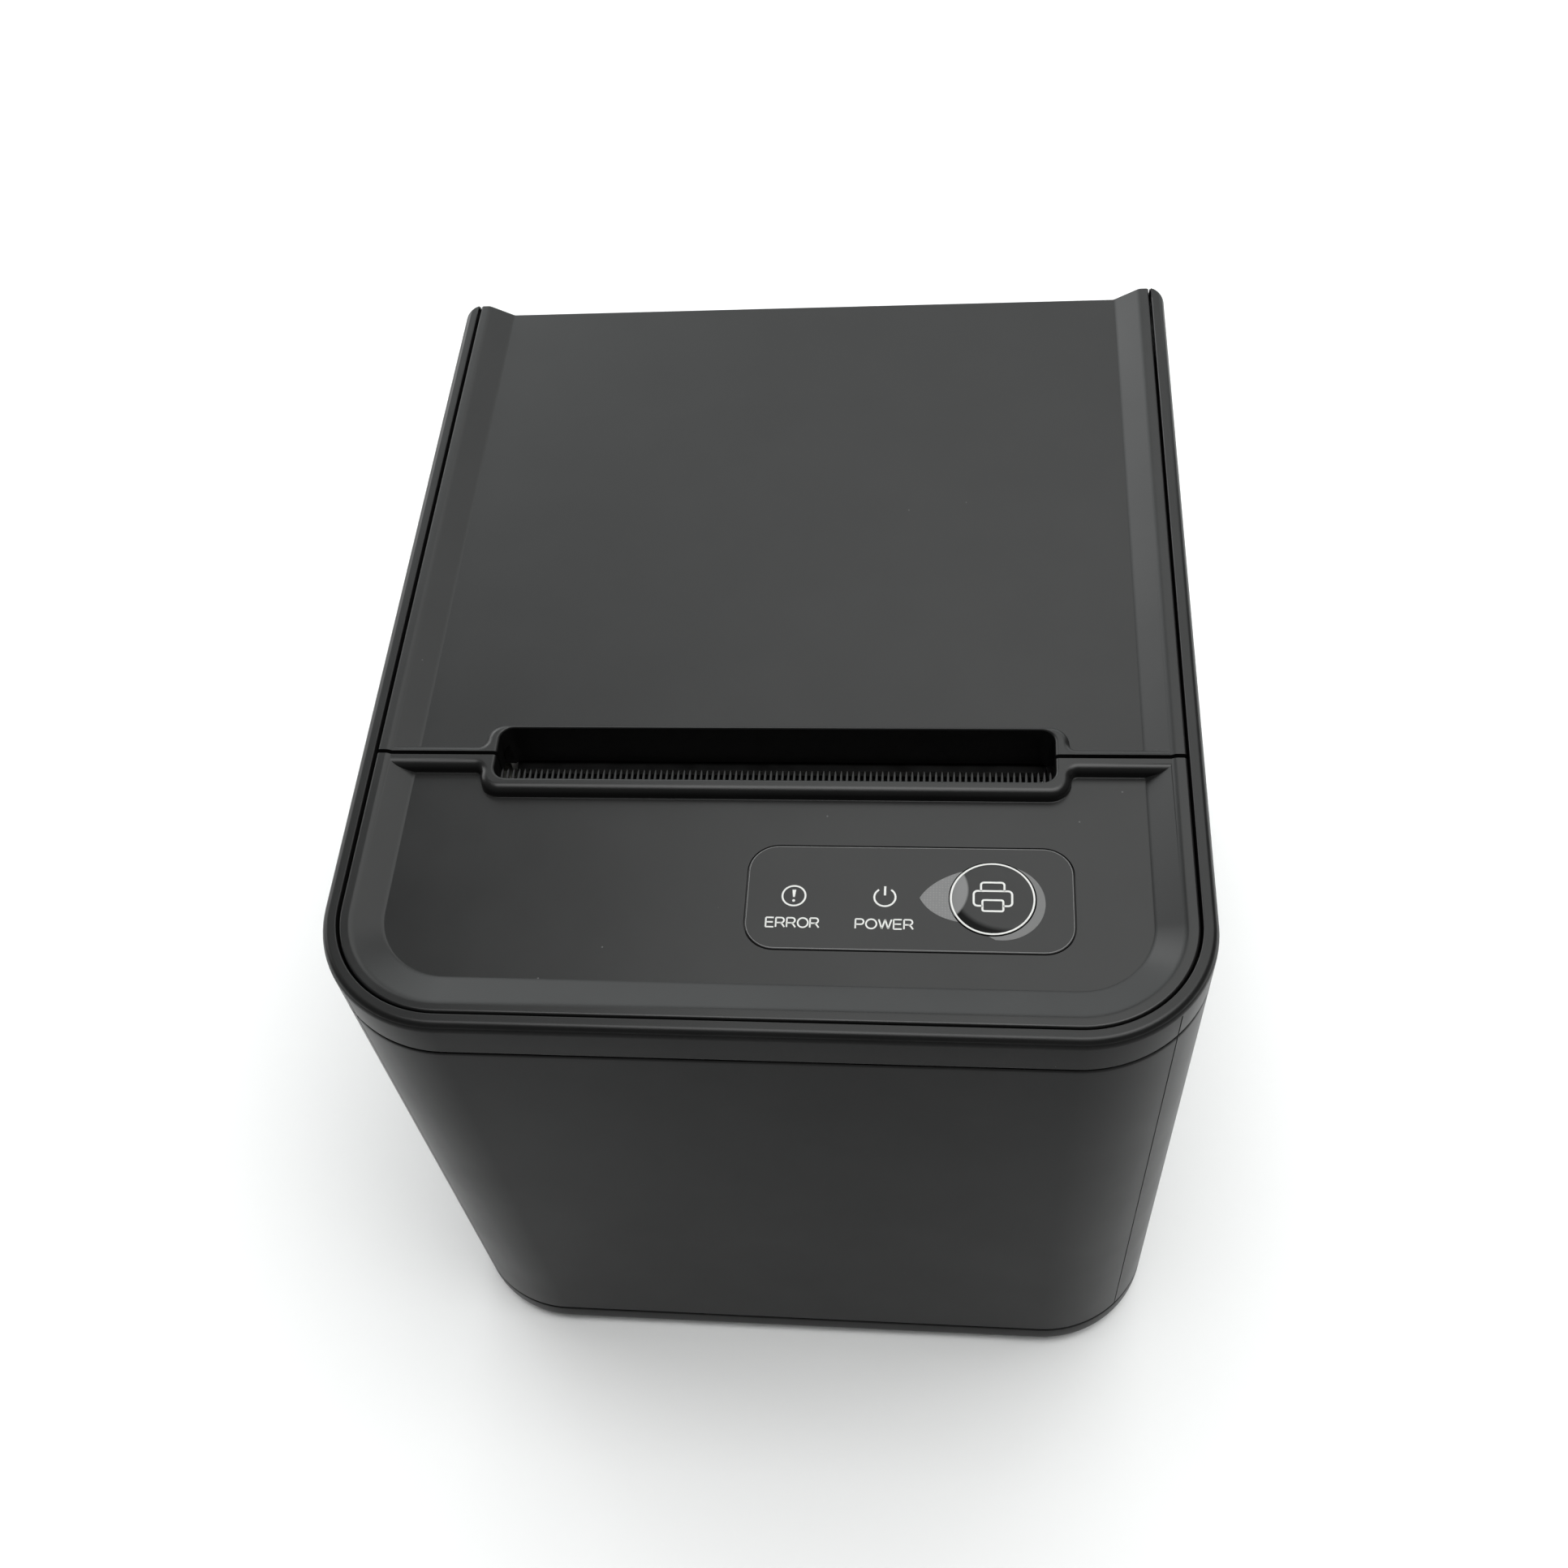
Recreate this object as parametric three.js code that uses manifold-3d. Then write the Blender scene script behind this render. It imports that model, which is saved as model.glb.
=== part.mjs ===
// A receipt printer for 80 mm paper rolls: a drop-in paper bin under a hinged lid that carries
// the platen, a pivoting print head, a feed gear train and a sliding cutter blade.
// Millimetres. +X is to the right, +Y to the rear, +Z up. The origin is the middle of the
// footprint, at the underside of the feet.

import * as THREE from 'three';
import { mergeVertices } from 'three/addons/utils/BufferGeometryUtils.js';
import Module from 'manifold-3d';

const wasm = await Module();
wasm.setup();

// ---------- driving dimensions ----------

const WIDTH = 126;
const DEPTH = 150;
const TOP = 119.5;
const FRONT_RADIUS = 19.3;
const REAR_RADIUS = 3;
const WALL = 2.4;
const SEAM = 0.3;

const BASE_BOTTOM = 2;
const BASE_TOP = 7.1;
const FRAME_BOTTOM = 111.9;
const FRAME_EDGE_RADIUS = 1.8;
const RIM = 2.25;
const LEDGE = 5;
const LEDGE_TOP = FRAME_BOTTOM + 1.5;
const LEDGE_REAR = 60;

const COVER_INSET = 2.8;
const COVER_TOP = TOP - 0.2;
const PANEL = TOP - 2.5;
const PANEL_THICKNESS = 1.8;
const COVER_BOTTOM = LEDGE_TOP + SEAM;
const BEVEL = 5.4;
const EDGE_STRIP = 0.5;
const LIP = 2;
const RING = { side: 2.2, front: 2.5, rear: 1, radius: 3.4 };
const WING = { front: 1.95, rear: 1.4, end: 58.8 };
const PARTING = -27.9;
const PARTING_GAP = 0.6;

const SLOT = { halfWidth: 41.75, front: -32.7, rear: -23.3, radius: 2 };
const PAPER_WIDTH = 80;

const HINGE = { y: 68, z: 104.5, pin: 2, knuckle: 4.2 };
const CASE_REAR_TOP = 96.5;
const SKIRT_BOTTOM = 99;

const PLATEN = { y: -18.5, z: 99, radius: 6, shaft: 3, bush: 4.5 };
const BIN = { y: 28, z: 74, radius: 41, wall: 1.6, cheek: 41.5, shelf: 100 };
const SIDE_PLATE = { inner: 45, thickness: 1.2 };
const MECH_FLOOR = 50;
const RUNNING = 0.1;

const FEED_GEAR = { module: 1, width: 3, inner: 47.2 };
const PLATEN_TEETH = 16;
const IDLER_TEETH = 28;
const PINION_TEETH = 12;
const FEED_PINION_SIDE = THREE.MathUtils.degToRad(209);

const CUTTER_GEAR = { y: -52, z: 101.2, module: 0.8, teeth: 12, x: 30, width: 4.5 };
const CUTTER_WHEEL = { module: 0.6, teeth: 36, pinion: 12, x: 42.2, width: 2.2 };
const CUTTER_PINION_SIDE = THREE.MathUtils.degToRad(254);
const BLADE = { halfWidth: 40.1, front: -60, rear: -29.5, bottom: 107, top: 108 };
const RACK_ADDENDUM = 0.5;

const HEAD = { y: -28.5, z: 86, shaft: 1.5, face: -25.2, top: 106.5, halfWidth: 41 };
const LATCH = { y: -34.5, z: 92.5, shaft: 1.25, x: 43.25, width: 1.2 };
const BOARD = { bottom: 14, thickness: 1.6 };
const CONTROL = { x: 20.95, y: -51.4, width: 46.3, depth: 17.6, radius: 4.5 };
const BUTTON = { x: 32.6, y: -51.3, radius: 5.9 };
const LIGHTS = { error: 4.75, power: 17.6, y: -51.3, radius: 1.5 };

const PRESSURE_ANGLE = THREE.MathUtils.degToRad(20);

// ---------- colours ----------

const material = (color, roughness, metalness = 0) =>
  new THREE.MeshStandardMaterial({ color, roughness, metalness });
const HOUSING = material(0x2b2b2c, 0.6);
const GLOSSY = material(0x1b1c1c, 0.25);
const INNER = material(0x202022, 0.65);
const STEEL = material(0xa9acb0, 0.35, 1);
const ALUMINIUM = material(0xb9bcc0, 0.4, 1);
const RUBBER = material(0x17171a, 0.85);
const NYLON = material(0xd8d4c8, 0.5);
const CIRCUIT = material(0x1e5a36, 0.5);
const CLEAR = material(0xd9dcdc, 0.2);
const CERAMIC = material(0xe6e4dc, 0.3);
const FLEX = material(0xc98a3a, 0.45);

// ---------- solids ----------

// Turns a closed geometry into a solid for joining and cutting.
function solid(geometry) {
  geometry.deleteAttribute('normal');
  geometry.deleteAttribute('uv');
  const merged = mergeVertices(geometry, 1e-4);
  const vertProperties = merged.attributes.position.array;
  const triVerts = new Uint32Array(merged.index.array);
  return new wasm.Manifold(new wasm.Mesh({ numProp: 3, vertProperties, triVerts }));
}

function geometryOf(body) {
  const mesh = body.getMesh();
  const geometry = new THREE.BufferGeometry();
  geometry.setAttribute('position', new THREE.Float32BufferAttribute(mesh.vertProperties, 3));
  geometry.setIndex(new THREE.Uint32BufferAttribute(mesh.triVerts, 1));
  geometry.computeVertexNormals();
  return geometry;
}

const joined = (bodies) => bodies.reduce((sum, body) => sum.add(body));
const cut = (body, tools) => tools.reduce((rest, tool) => rest.subtract(tool), body);

function block(x, y, z) {
  const geometry = new THREE.BoxGeometry(x[1] - x[0], y[1] - y[0], z[1] - z[0]);
  geometry.translate((x[0] + x[1]) / 2, (y[0] + y[1]) / 2, (z[0] + z[1]) / 2);
  return solid(geometry);
}

// A round bar along one axis; centre is given in the other two, in X, Y, Z order.
function rod(axis, radius, from, to, centre, sides = 24) {
  const geometry = new THREE.CylinderGeometry(radius, radius, to - from, sides);
  const middle = (from + to) / 2;
  if (axis === 'x') geometry.rotateZ(-Math.PI / 2).translate(middle, centre[0], centre[1]);
  if (axis === 'y') geometry.translate(centre[0], middle, centre[1]);
  if (axis === 'z') geometry.rotateX(Math.PI / 2).translate(centre[0], centre[1], middle);
  return solid(geometry);
}

const X = new THREE.Vector3(1, 0, 0);
const Y = new THREE.Vector3(0, 1, 0);
const Z = new THREE.Vector3(0, 0, 1);

// Extrudes a shape along an axis. On x the shape is drawn in (y, z), on y in (x, z), on z in (x, y).
function prism(axis, shape, from, to, curveSegments = 8) {
  const geometry = new THREE.ExtrudeGeometry(shape, { depth: to - from, bevelEnabled: false, curveSegments });
  geometry.translate(0, 0, axis === 'y' ? -to : from);
  if (axis === 'x') geometry.applyMatrix4(new THREE.Matrix4().makeBasis(Y, Z, X));
  if (axis === 'y') geometry.applyMatrix4(new THREE.Matrix4().makeBasis(X, Z, Y.clone().negate()));
  return solid(geometry);
}

const polygon = (points) => new THREE.Shape(points.map(([u, v]) => new THREE.Vector2(u, v)));

function roundedRectangle(u, v, radius) {
  const shape = new THREE.Shape();
  shape.absarc(u[0] + radius, v[0] + radius, radius, Math.PI, 1.5 * Math.PI);
  shape.absarc(u[1] - radius, v[0] + radius, radius, 1.5 * Math.PI, 2 * Math.PI);
  shape.absarc(u[1] - radius, v[1] - radius, radius, 0, 0.5 * Math.PI);
  shape.absarc(u[0] + radius, v[1] - radius, radius, 0.5 * Math.PI, Math.PI);
  return shape;
}

// The plan outline of the housing, moved in by an inset, as points counter-clockwise from above.
function planOutline({ inset, rear = DEPTH / 2 - inset, rearRadius = REAR_RADIUS - inset, steps = 9 }) {
  const half = WIDTH / 2 - inset;
  const front = -DEPTH / 2 + inset;
  const radius = FRONT_RADIUS - inset;
  const back = Math.max(rearRadius, 0.2);
  const corners = [
    [-half + radius, front + radius, radius, Math.PI],
    [half - radius, front + radius, radius, 1.5 * Math.PI],
    [half - back, rear - back, back, 0],
    [-half + back, rear - back, back, 0.5 * Math.PI],
  ];
  return corners.flatMap(([x, y, r, start]) =>
    Array.from({ length: steps + 1 }, (_, step) => {
      const angle = start + (step / steps) * (Math.PI / 2);
      return new THREE.Vector2(x + r * Math.cos(angle), y + r * Math.sin(angle));
    }),
  );
}

// A solid skinned over outlines with the same number of points, from the lowest to the highest.
function loft(sections) {
  const count = sections[0].outline.length;
  const positions = sections.flatMap(({ outline, z }) => outline.flatMap((point) => [point.x, point.y, z]));
  const index = [];
  for (let level = 0; level + 1 < sections.length; level += 1) {
    for (let i = 0; i < count; i += 1) {
      const next = (i + 1) % count;
      const low = level * count;
      const high = low + count;
      index.push(low + i, low + next, high + next, low + i, high + next, high + i);
    }
  }
  const caps = THREE.ShapeUtils.triangulateShape(sections[0].outline, []);
  const last = (sections.length - 1) * count;
  caps.forEach(([a, b, c]) => index.push(c, b, a, last + a, last + b, last + c));
  const geometry = new THREE.BufferGeometry();
  geometry.setAttribute('position', new THREE.Float32BufferAttribute(positions, 3));
  geometry.setIndex(index);
  return solid(geometry);
}

const plan = (inset, bottom, top, more = {}) =>
  loft([bottom, top].map((z) => ({ outline: planOutline({ inset, ...more }), z })));

// ---------- gears ----------

// A spur gear outline with stub involute teeth; a tooth is centred on the first axis.
function gearShape({ teeth, module, bore = 0, backlash = 0.2 }) {
  const pitch = (teeth * module) / 2;
  const base = pitch * Math.cos(PRESSURE_ANGLE);
  const root = pitch - 1.1 * module;
  const tip = pitch + 0.8 * module;
  const involute = (angle) => Math.tan(angle) - angle;
  const halfTooth = (radius) =>
    Math.PI / (2 * teeth) - backlash / (4 * pitch) + involute(PRESSURE_ANGLE)
    - involute(Math.acos(Math.min(1, base / radius)));
  const flank = [root, Math.max(root, base) + 0.02, pitch, tip];
  const points = [];
  for (let tooth = 0; tooth < teeth; tooth += 1) {
    const centre = (tooth * 2 * Math.PI) / teeth;
    const at = (radius, side) => {
      const angle = centre + side * halfTooth(radius);
      return [radius * Math.cos(angle), radius * Math.sin(angle)];
    };
    flank.forEach((radius) => points.push(at(radius, -1)));
    [...flank].reverse().forEach((radius) => points.push(at(radius, 1)));
  }
  const shape = polygon(points);
  if (bore) shape.holes.push(new THREE.Path().absarc(0, 0, bore, 0, 2 * Math.PI, true));
  return shape;
}

// The turn that puts gear B in mesh with gear A, seen along +X; towards is the direction from A to B.
function meshTurn(turnA, teethA, towards, teethB) {
  const pitchA = (2 * Math.PI) / teethA;
  const pitchB = (2 * Math.PI) / teethB;
  return towards + Math.PI + pitchB / 2 - ((turnA - towards) / pitchA) * pitchB;
}

const pitchDistance = (module, teethA, teethB) => (module * (teethA + teethB)) / 2;
const stepFrom = ({ y, z }, angle, distance) => ({ y: y + distance * Math.cos(angle), z: z + distance * Math.sin(angle) });

// The idler lies straight below the platen gear's first movement, so that the lid lifts it out of mesh.
function idlerPlace() {
  const arm = new THREE.Vector2(PLATEN.y - HINGE.y, PLATEN.z - HINGE.z);
  const below = Math.atan2(arm.x, -arm.y);
  return { side: below, ...stepFrom(PLATEN, below, pitchDistance(FEED_GEAR.module, PLATEN_TEETH, IDLER_TEETH)) };
}

const IDLER = idlerPlace();
const FEED_PINION = stepFrom(IDLER, FEED_PINION_SIDE, pitchDistance(FEED_GEAR.module, IDLER_TEETH, PINION_TEETH));
const IDLER_TURN = meshTurn(0, PLATEN_TEETH, IDLER.side, IDLER_TEETH);
const FEED_PINION_TURN = meshTurn(IDLER_TURN, IDLER_TEETH, FEED_PINION_SIDE, PINION_TEETH);

const CUTTER_PINION = stepFrom(
  CUTTER_GEAR,
  CUTTER_PINION_SIDE,
  pitchDistance(CUTTER_WHEEL.module, CUTTER_WHEEL.teeth, CUTTER_WHEEL.pinion),
);
const CUTTER_PINION_TURN = meshTurn(0, CUTTER_WHEEL.teeth, CUTTER_PINION_SIDE, CUTTER_WHEEL.pinion);

// ---------- the assembly ----------

const printer = new THREE.Group();
printer.name = 'receipt_printer';

function addPiece(name, body, look, { x = 0, y = 0, z = 0 } = {}, turnX = 0) {
  const mesh = new THREE.Mesh(geometryOf(body), look);
  mesh.name = name;
  mesh.position.set(x, y, z);
  mesh.rotation.x = turnX;
  printer.add(mesh);
}

const SIDES = [
  { side: -1, label: 'left' },
  { side: 1, label: 'right' },
];

// A span that is given on the right is mirrored for the left side.
const span = (side, from, to) => (side > 0 ? [from, to] : [-to, -from]);

// ---------- base ----------

const FOOT = { x: 48, y: 55, radius: 6.5, height: 2.6 };
const MECH_POST = { x: 38, y: [-60, -28], radius: 3.2 };
const BOARD_POST = { x: 46, y: [-12, 50], radius: 2.6 };
const BASE_SCREW = { x: 54, y: 66.5, head: 2.9, shank: 1.5, top: 17 };

function baseTray() {
  const floorTop = BASE_BOTTOM + 2.4;
  const shell = loft([
    { outline: planOutline({ inset: 1.4 }), z: BASE_BOTTOM },
    { outline: planOutline({ inset: 0.4 }), z: BASE_BOTTOM + 0.5 },
    { outline: planOutline({ inset: 0 }), z: BASE_BOTTOM + 1.5 },
    { outline: planOutline({ inset: 0 }), z: BASE_TOP },
  ]);
  const posts = [-1, 1].flatMap((side) => [
    ...MECH_POST.y.map((y) =>
      rod('z', MECH_POST.radius, BASE_BOTTOM + 1.5, MECH_FLOOR - SEAM, [side * MECH_POST.x, y], 12)),
    ...BOARD_POST.y.map((y) =>
      rod('z', BOARD_POST.radius, BASE_BOTTOM + 1.5, BOARD.bottom - SEAM, [side * BOARD_POST.x, y], 12)),
  ]);
  const footWells = [-1, 1].flatMap((side) => [-1, 1].map((end) =>
    rod('z', FOOT.radius + 0.3, 0, FOOT.height + 0.3, [side * FOOT.x, end * FOOT.y])));
  const screwHoles = [-1, 1].flatMap((side) => [
    rod('z', BASE_SCREW.head + 0.3, 0, 3.5, [side * BASE_SCREW.x, BASE_SCREW.y], 16),
    rod('z', BASE_SCREW.shank + 0.3, 0, 8, [side * BASE_SCREW.x, BASE_SCREW.y], 12),
  ]);
  const hollow = cut(shell, [plan(WALL, floorTop, BASE_TOP + 1)]);
  return cut(joined([hollow, ...posts]), [...footWells, ...screwHoles]);
}

function addBase() {
  addPiece('base_tray', baseTray(), HOUSING);
  const foot = rod('z', FOOT.radius, 0, FOOT.height, [0, 0]);
  const screw = joined([
    rod('z', BASE_SCREW.head, 2.3, 3.4, [0, 0], 16),
    rod('z', BASE_SCREW.shank, 3, BASE_SCREW.top, [0, 0], 12),
  ]);
  SIDES.forEach(({ side, label }) => {
    addPiece(`foot_front_${label}`, foot, RUBBER, { x: side * FOOT.x, y: -FOOT.y });
    addPiece(`foot_rear_${label}`, foot, RUBBER, { x: side * FOOT.x, y: FOOT.y });
    addPiece(`base_screw_${label}`, screw, STEEL, { x: side * BASE_SCREW.x, y: BASE_SCREW.y });
  });
}

// ---------- case and top frame ----------

const REAR_WINDOW = { halfWidth: 47, bottom: 12.5, top: 35 };
const BOSS = { from: 58.9, to: 61, radius: 4 };
const SHELF_RIB = { y: [4, 44], inner: 55.5, height: 8 };

function caseShell() {
  const bottom = BASE_TOP + SEAM;
  const top = FRAME_BOTTOM - SEAM;
  const inside = WIDTH / 2 - WALL;
  const ribs = [-1, 1].flatMap((side) => [
    rod('x', BOSS.radius, ...span(side, BOSS.from, BOSS.to), [HINGE.y, HINGE.z]),
    rod('z', 3.6, 12.5, 22, [side * BASE_SCREW.x, BASE_SCREW.y], 12),
    block(span(side, BASE_SCREW.x - 1.2, BASE_SCREW.x + 1.2), [BASE_SCREW.y, 73.5], [12.5, 22]),
    ...SHELF_RIB.y.map((y) => {
      const topZ = BIN.shelf - BIN.wall - SEAM;
      return block(span(side, SHELF_RIB.inner, inside + 1), [y, y + 3], [topZ - SHELF_RIB.height, topZ]);
    }),
  ]);
  const holes = [-1, 1].flatMap((side) => [
    rod('x', HINGE.pin + RUNNING, ...span(side, 50, 60.6), [HINGE.y, HINGE.z]),
    rod('z', BASE_SCREW.shank + RUNNING, 12, 18, [side * BASE_SCREW.x, BASE_SCREW.y], 12),
  ]);
  const lidGap = block([-inside, inside], [DEPTH / 2 - WALL - 1, DEPTH / 2 + 1], [CASE_REAR_TOP, top + 1]);
  const window = block(
    [-REAR_WINDOW.halfWidth, REAR_WINDOW.halfWidth],
    [DEPTH / 2 - WALL - 1, DEPTH / 2 + 1],
    [REAR_WINDOW.bottom, REAR_WINDOW.top],
  );
  const tube = cut(plan(0, bottom, top), [plan(WALL, bottom - 1, top + 1), lidGap, window]);
  return cut(joined([tube, ...ribs]), holes);
}

function roundedTop(inset, bottom, top, radius, levels = 4) {
  const sections = [{ outline: planOutline({ inset }), z: bottom }];
  for (let level = 0; level <= levels; level += 1) {
    const angle = (level / levels) * (Math.PI / 2);
    const moved = inset + radius * (1 - Math.cos(angle));
    sections.push({ outline: planOutline({ inset: moved }), z: top - radius + radius * Math.sin(angle) });
  }
  return loft(sections);
}

function topFrame() {
  const outer = roundedTop(0, FRAME_BOTTOM, TOP, FRAME_EDGE_RADIUS);
  const rimInside = WIDTH / 2 - RIM;
  return cut(outer, [
    plan(RIM, LEDGE_TOP, TOP + 1),
    plan(LEDGE, FRAME_BOTTOM - 1, TOP),
    block([-rimInside, rimInside], [LEDGE_REAR, DEPTH / 2 + 1], [FRAME_BOTTOM - 1, TOP + 1]),
  ]);
}

// ---------- front cover and lid ----------

const slotHole = () =>
  prism('z', roundedRectangle([-SLOT.halfWidth, SLOT.halfWidth], [SLOT.front, SLOT.rear], SLOT.radius), 100, 130, 4);
const slotLip = () =>
  prism('z', roundedRectangle(
    [-SLOT.halfWidth - RING.side, SLOT.halfWidth + RING.side],
    [SLOT.front - RING.front, SLOT.rear + RING.rear],
    RING.radius,
  ), COVER_BOTTOM, PANEL + LIP, 4);
const wingLip = (y) => [-1, 1].map((side) =>
  block(span(side, SLOT.halfWidth + 0.6, WING.end), y, [COVER_BOTTOM, PANEL + LIP]));
const beforeParting = () => block([-70, 70], [-80, PARTING - PARTING_GAP / 2], [90, 130]);
const afterParting = () => block([-70, 70], [PARTING + PARTING_GAP / 2, 80], [90, 130]);

function frontCover() {
  const rear = PARTING - PARTING_GAP / 2;
  const outline = (inset, end = rear) => planOutline({ inset: COVER_INSET + inset, rear: end, rearRadius: 0.2 });
  const body = loft([
    { outline: outline(0), z: COVER_BOTTOM },
    { outline: outline(0), z: COVER_TOP - 0.2 },
    { outline: outline(0.2), z: COVER_TOP },
  ]);
  const dish = loft([
    { outline: outline(EDGE_STRIP + BEVEL, 0), z: PANEL },
    { outline: outline(EDGE_STRIP, 0), z: COVER_TOP },
    { outline: outline(EDGE_STRIP, 0), z: TOP + 2 },
  ]);
  const underside = plan(COVER_INSET + 2.2, COVER_BOTTOM - 1, PANEL - PANEL_THICKNESS, {
    rear: rear - 2,
    rearRadius: 0.2,
  });
  const lips = joined([slotLip(), ...wingLip([rear - WING.front, rear])]).intersect(beforeParting());
  const tearBarSlit = block([-41.45, 41.45], [-35.2, -31], [TEAR_BAR.bottom - 0.15, TEAR_BAR.top + 0.15]);
  const holes = [
    prism('z', roundedRectangle(...overlayEdges(0.3), CONTROL.radius), PANEL - 0.5, PANEL + 1, 5),
    rod('z', BUTTON.radius + 0.3, 110, PANEL + 1, [BUTTON.x, BUTTON.y]),
    rod('z', LIGHTS.radius + 0.3, 110, PANEL, [LIGHTS.error, LIGHTS.y], 12),
    rod('z', LIGHTS.radius + 0.3, 110, PANEL, [LIGHTS.power, LIGHTS.y], 12),
  ];
  return cut(joined([cut(body, [dish, underside]), lips]), [slotHole(), tearBarSlit, ...holes]);
}

function overlayEdges(margin) {
  return [
    [CONTROL.x - CONTROL.width / 2 - margin, CONTROL.x + CONTROL.width / 2 + margin],
    [CONTROL.y - CONTROL.depth / 2 - margin, CONTROL.y + CONTROL.depth / 2 + margin],
  ];
}

// The lid's section across its width: a sunk panel between two bevels that rise to the rim.
function lidSection() {
  const half = WIDTH / 2 - COVER_INSET;
  const strip = half - EDGE_STRIP;
  const right = [
    [half - 2.4, PANEL - PANEL_THICKNESS],
    [half - 2.4, COVER_BOTTOM],
    [half, COVER_BOTTOM],
    [half, COVER_TOP - 0.2],
    [half - 0.2, COVER_TOP],
    [strip, COVER_TOP],
    [strip - BEVEL, PANEL],
  ];
  const left = right.map(([x, z]) => [-x, z]).reverse();
  return polygon([...right, ...left]);
}

const ARM = { x: 55.5, width: 2, front: 44 };

function lid() {
  const half = WIDTH / 2 - COVER_INSET;
  const front = PARTING + PARTING_GAP / 2;
  const rear = DEPTH / 2;
  const skin = prism('y', lidSection(), front, rear);
  const skirt = block([-half, half], [rear - WALL, rear], [SKIRT_BOTTOM, PANEL - 0.5]);
  const frontWall = block([-half, half], [front, front + 2], [COVER_BOTTOM, PANEL - 0.5]);
  const slotWall = block([-SLOT.halfWidth - 1, SLOT.halfWidth + 1], [SLOT.rear - 0.5, SLOT.rear + 0.9], [110.4, PANEL]);
  const armShape = polygon([
    [ARM.front, PANEL - 1],
    [ARM.front, COVER_BOTTOM],
    [HINGE.y - HINGE.knuckle, HINGE.z],
    [HINGE.y + HINGE.knuckle * 0.9, HINGE.z],
    [HINGE.y + HINGE.knuckle * 0.9, PANEL - 1],
  ]);
  const arms = [-1, 1].flatMap((side) => {
    const x = span(side, ARM.x, ARM.x + ARM.width);
    return [prism('x', armShape, ...x), rod('x', HINGE.knuckle, ...x, [HINGE.y, HINGE.z])];
  });
  const lips = joined([slotLip(), ...wingLip([front, front + WING.rear])]).intersect(afterParting());
  const pinHoles = [-1, 1].map((side) => rod('x', HINGE.pin + RUNNING, ...span(side, 50, 60), [HINGE.y, HINGE.z]));
  const shell = joined([skin, skirt, frontWall, slotWall, ...arms, lips]);
  return cut(shell, [slotHole(), ...pinHoles, ...rearRounding()]);
}

// Rounds the lid's rear top edge by cutting away what lies outside a quarter circle.
function rearRounding() {
  const radius = 0.8;
  const y = DEPTH / 2 - radius;
  const z = PANEL - radius;
  const corner = new THREE.Shape();
  corner.moveTo(y, PANEL);
  corner.absarc(y, z, radius, Math.PI / 2, 0, true);
  corner.lineTo(y + radius + 1, z);
  corner.lineTo(y + radius + 1, PANEL + 4);
  corner.lineTo(y, PANEL + 4);
  const inner = WIDTH / 2 - COVER_INSET - EDGE_STRIP - BEVEL;
  return [prism('x', corner, -inner, inner, 5)];
}

const TEAR_BAR = { bottom: 115.9, top: 116.3, rear: -34.8, halfWidth: 41.2, pitch: 0.865, root: -30.9, tip: -28.3 };
const TOOTH = { halfRoot: 0.26, halfTip: 0.1, taper: 0.7 };

// A comb: straight-sided teeth that narrow towards their tips.
function tearBar() {
  const teeth = Math.floor((2 * TEAR_BAR.halfWidth) / TEAR_BAR.pitch);
  const first = ((teeth - 1) * TEAR_BAR.pitch) / 2;
  const points = [[TEAR_BAR.halfWidth, TEAR_BAR.rear], [TEAR_BAR.halfWidth, TEAR_BAR.root]];
  for (let tooth = 0; tooth < teeth; tooth += 1) {
    const x = first - tooth * TEAR_BAR.pitch;
    points.push([x + TOOTH.halfRoot, TEAR_BAR.root]);
    points.push([x + TOOTH.halfRoot, TEAR_BAR.tip - TOOTH.taper]);
    points.push([x + TOOTH.halfTip, TEAR_BAR.tip]);
    points.push([x - TOOTH.halfTip, TEAR_BAR.tip]);
    points.push([x - TOOTH.halfRoot, TEAR_BAR.tip - TOOTH.taper]);
    points.push([x - TOOTH.halfRoot, TEAR_BAR.root]);
  }
  points.push([-TEAR_BAR.halfWidth, TEAR_BAR.root], [-TEAR_BAR.halfWidth, TEAR_BAR.rear]);
  return prism('z', polygon(points), TEAR_BAR.bottom, TEAR_BAR.top);
}

function lidLiner() {
  const plate = block([-50, 50], [-6, 50], [112.4, 114.8]);
  const pocket = block([-48, 48], [-4, 48], [113.6, 116]);
  return cut(plate, [pocket]);
}

function addCovers() {
  addPiece('case_shell', caseShell(), HOUSING);
  addPiece('top_frame', topFrame(), HOUSING);
  addPiece('front_cover', frontCover(), HOUSING);
  addPiece('tear_bar', tearBar(), INNER);
  addPiece('lid', lid(), HOUSING);
  addPiece('lid_liner', lidLiner(), INNER);
  SIDES.forEach(({ side, label }) => {
    const pin = rod('x', HINGE.pin, ...span(side, 53.5, 60.2), [HINGE.y, HINGE.z]);
    addPiece(`hinge_pin_${label}`, pin, STEEL);
  });
}

// ---------- control panel ----------

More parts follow.
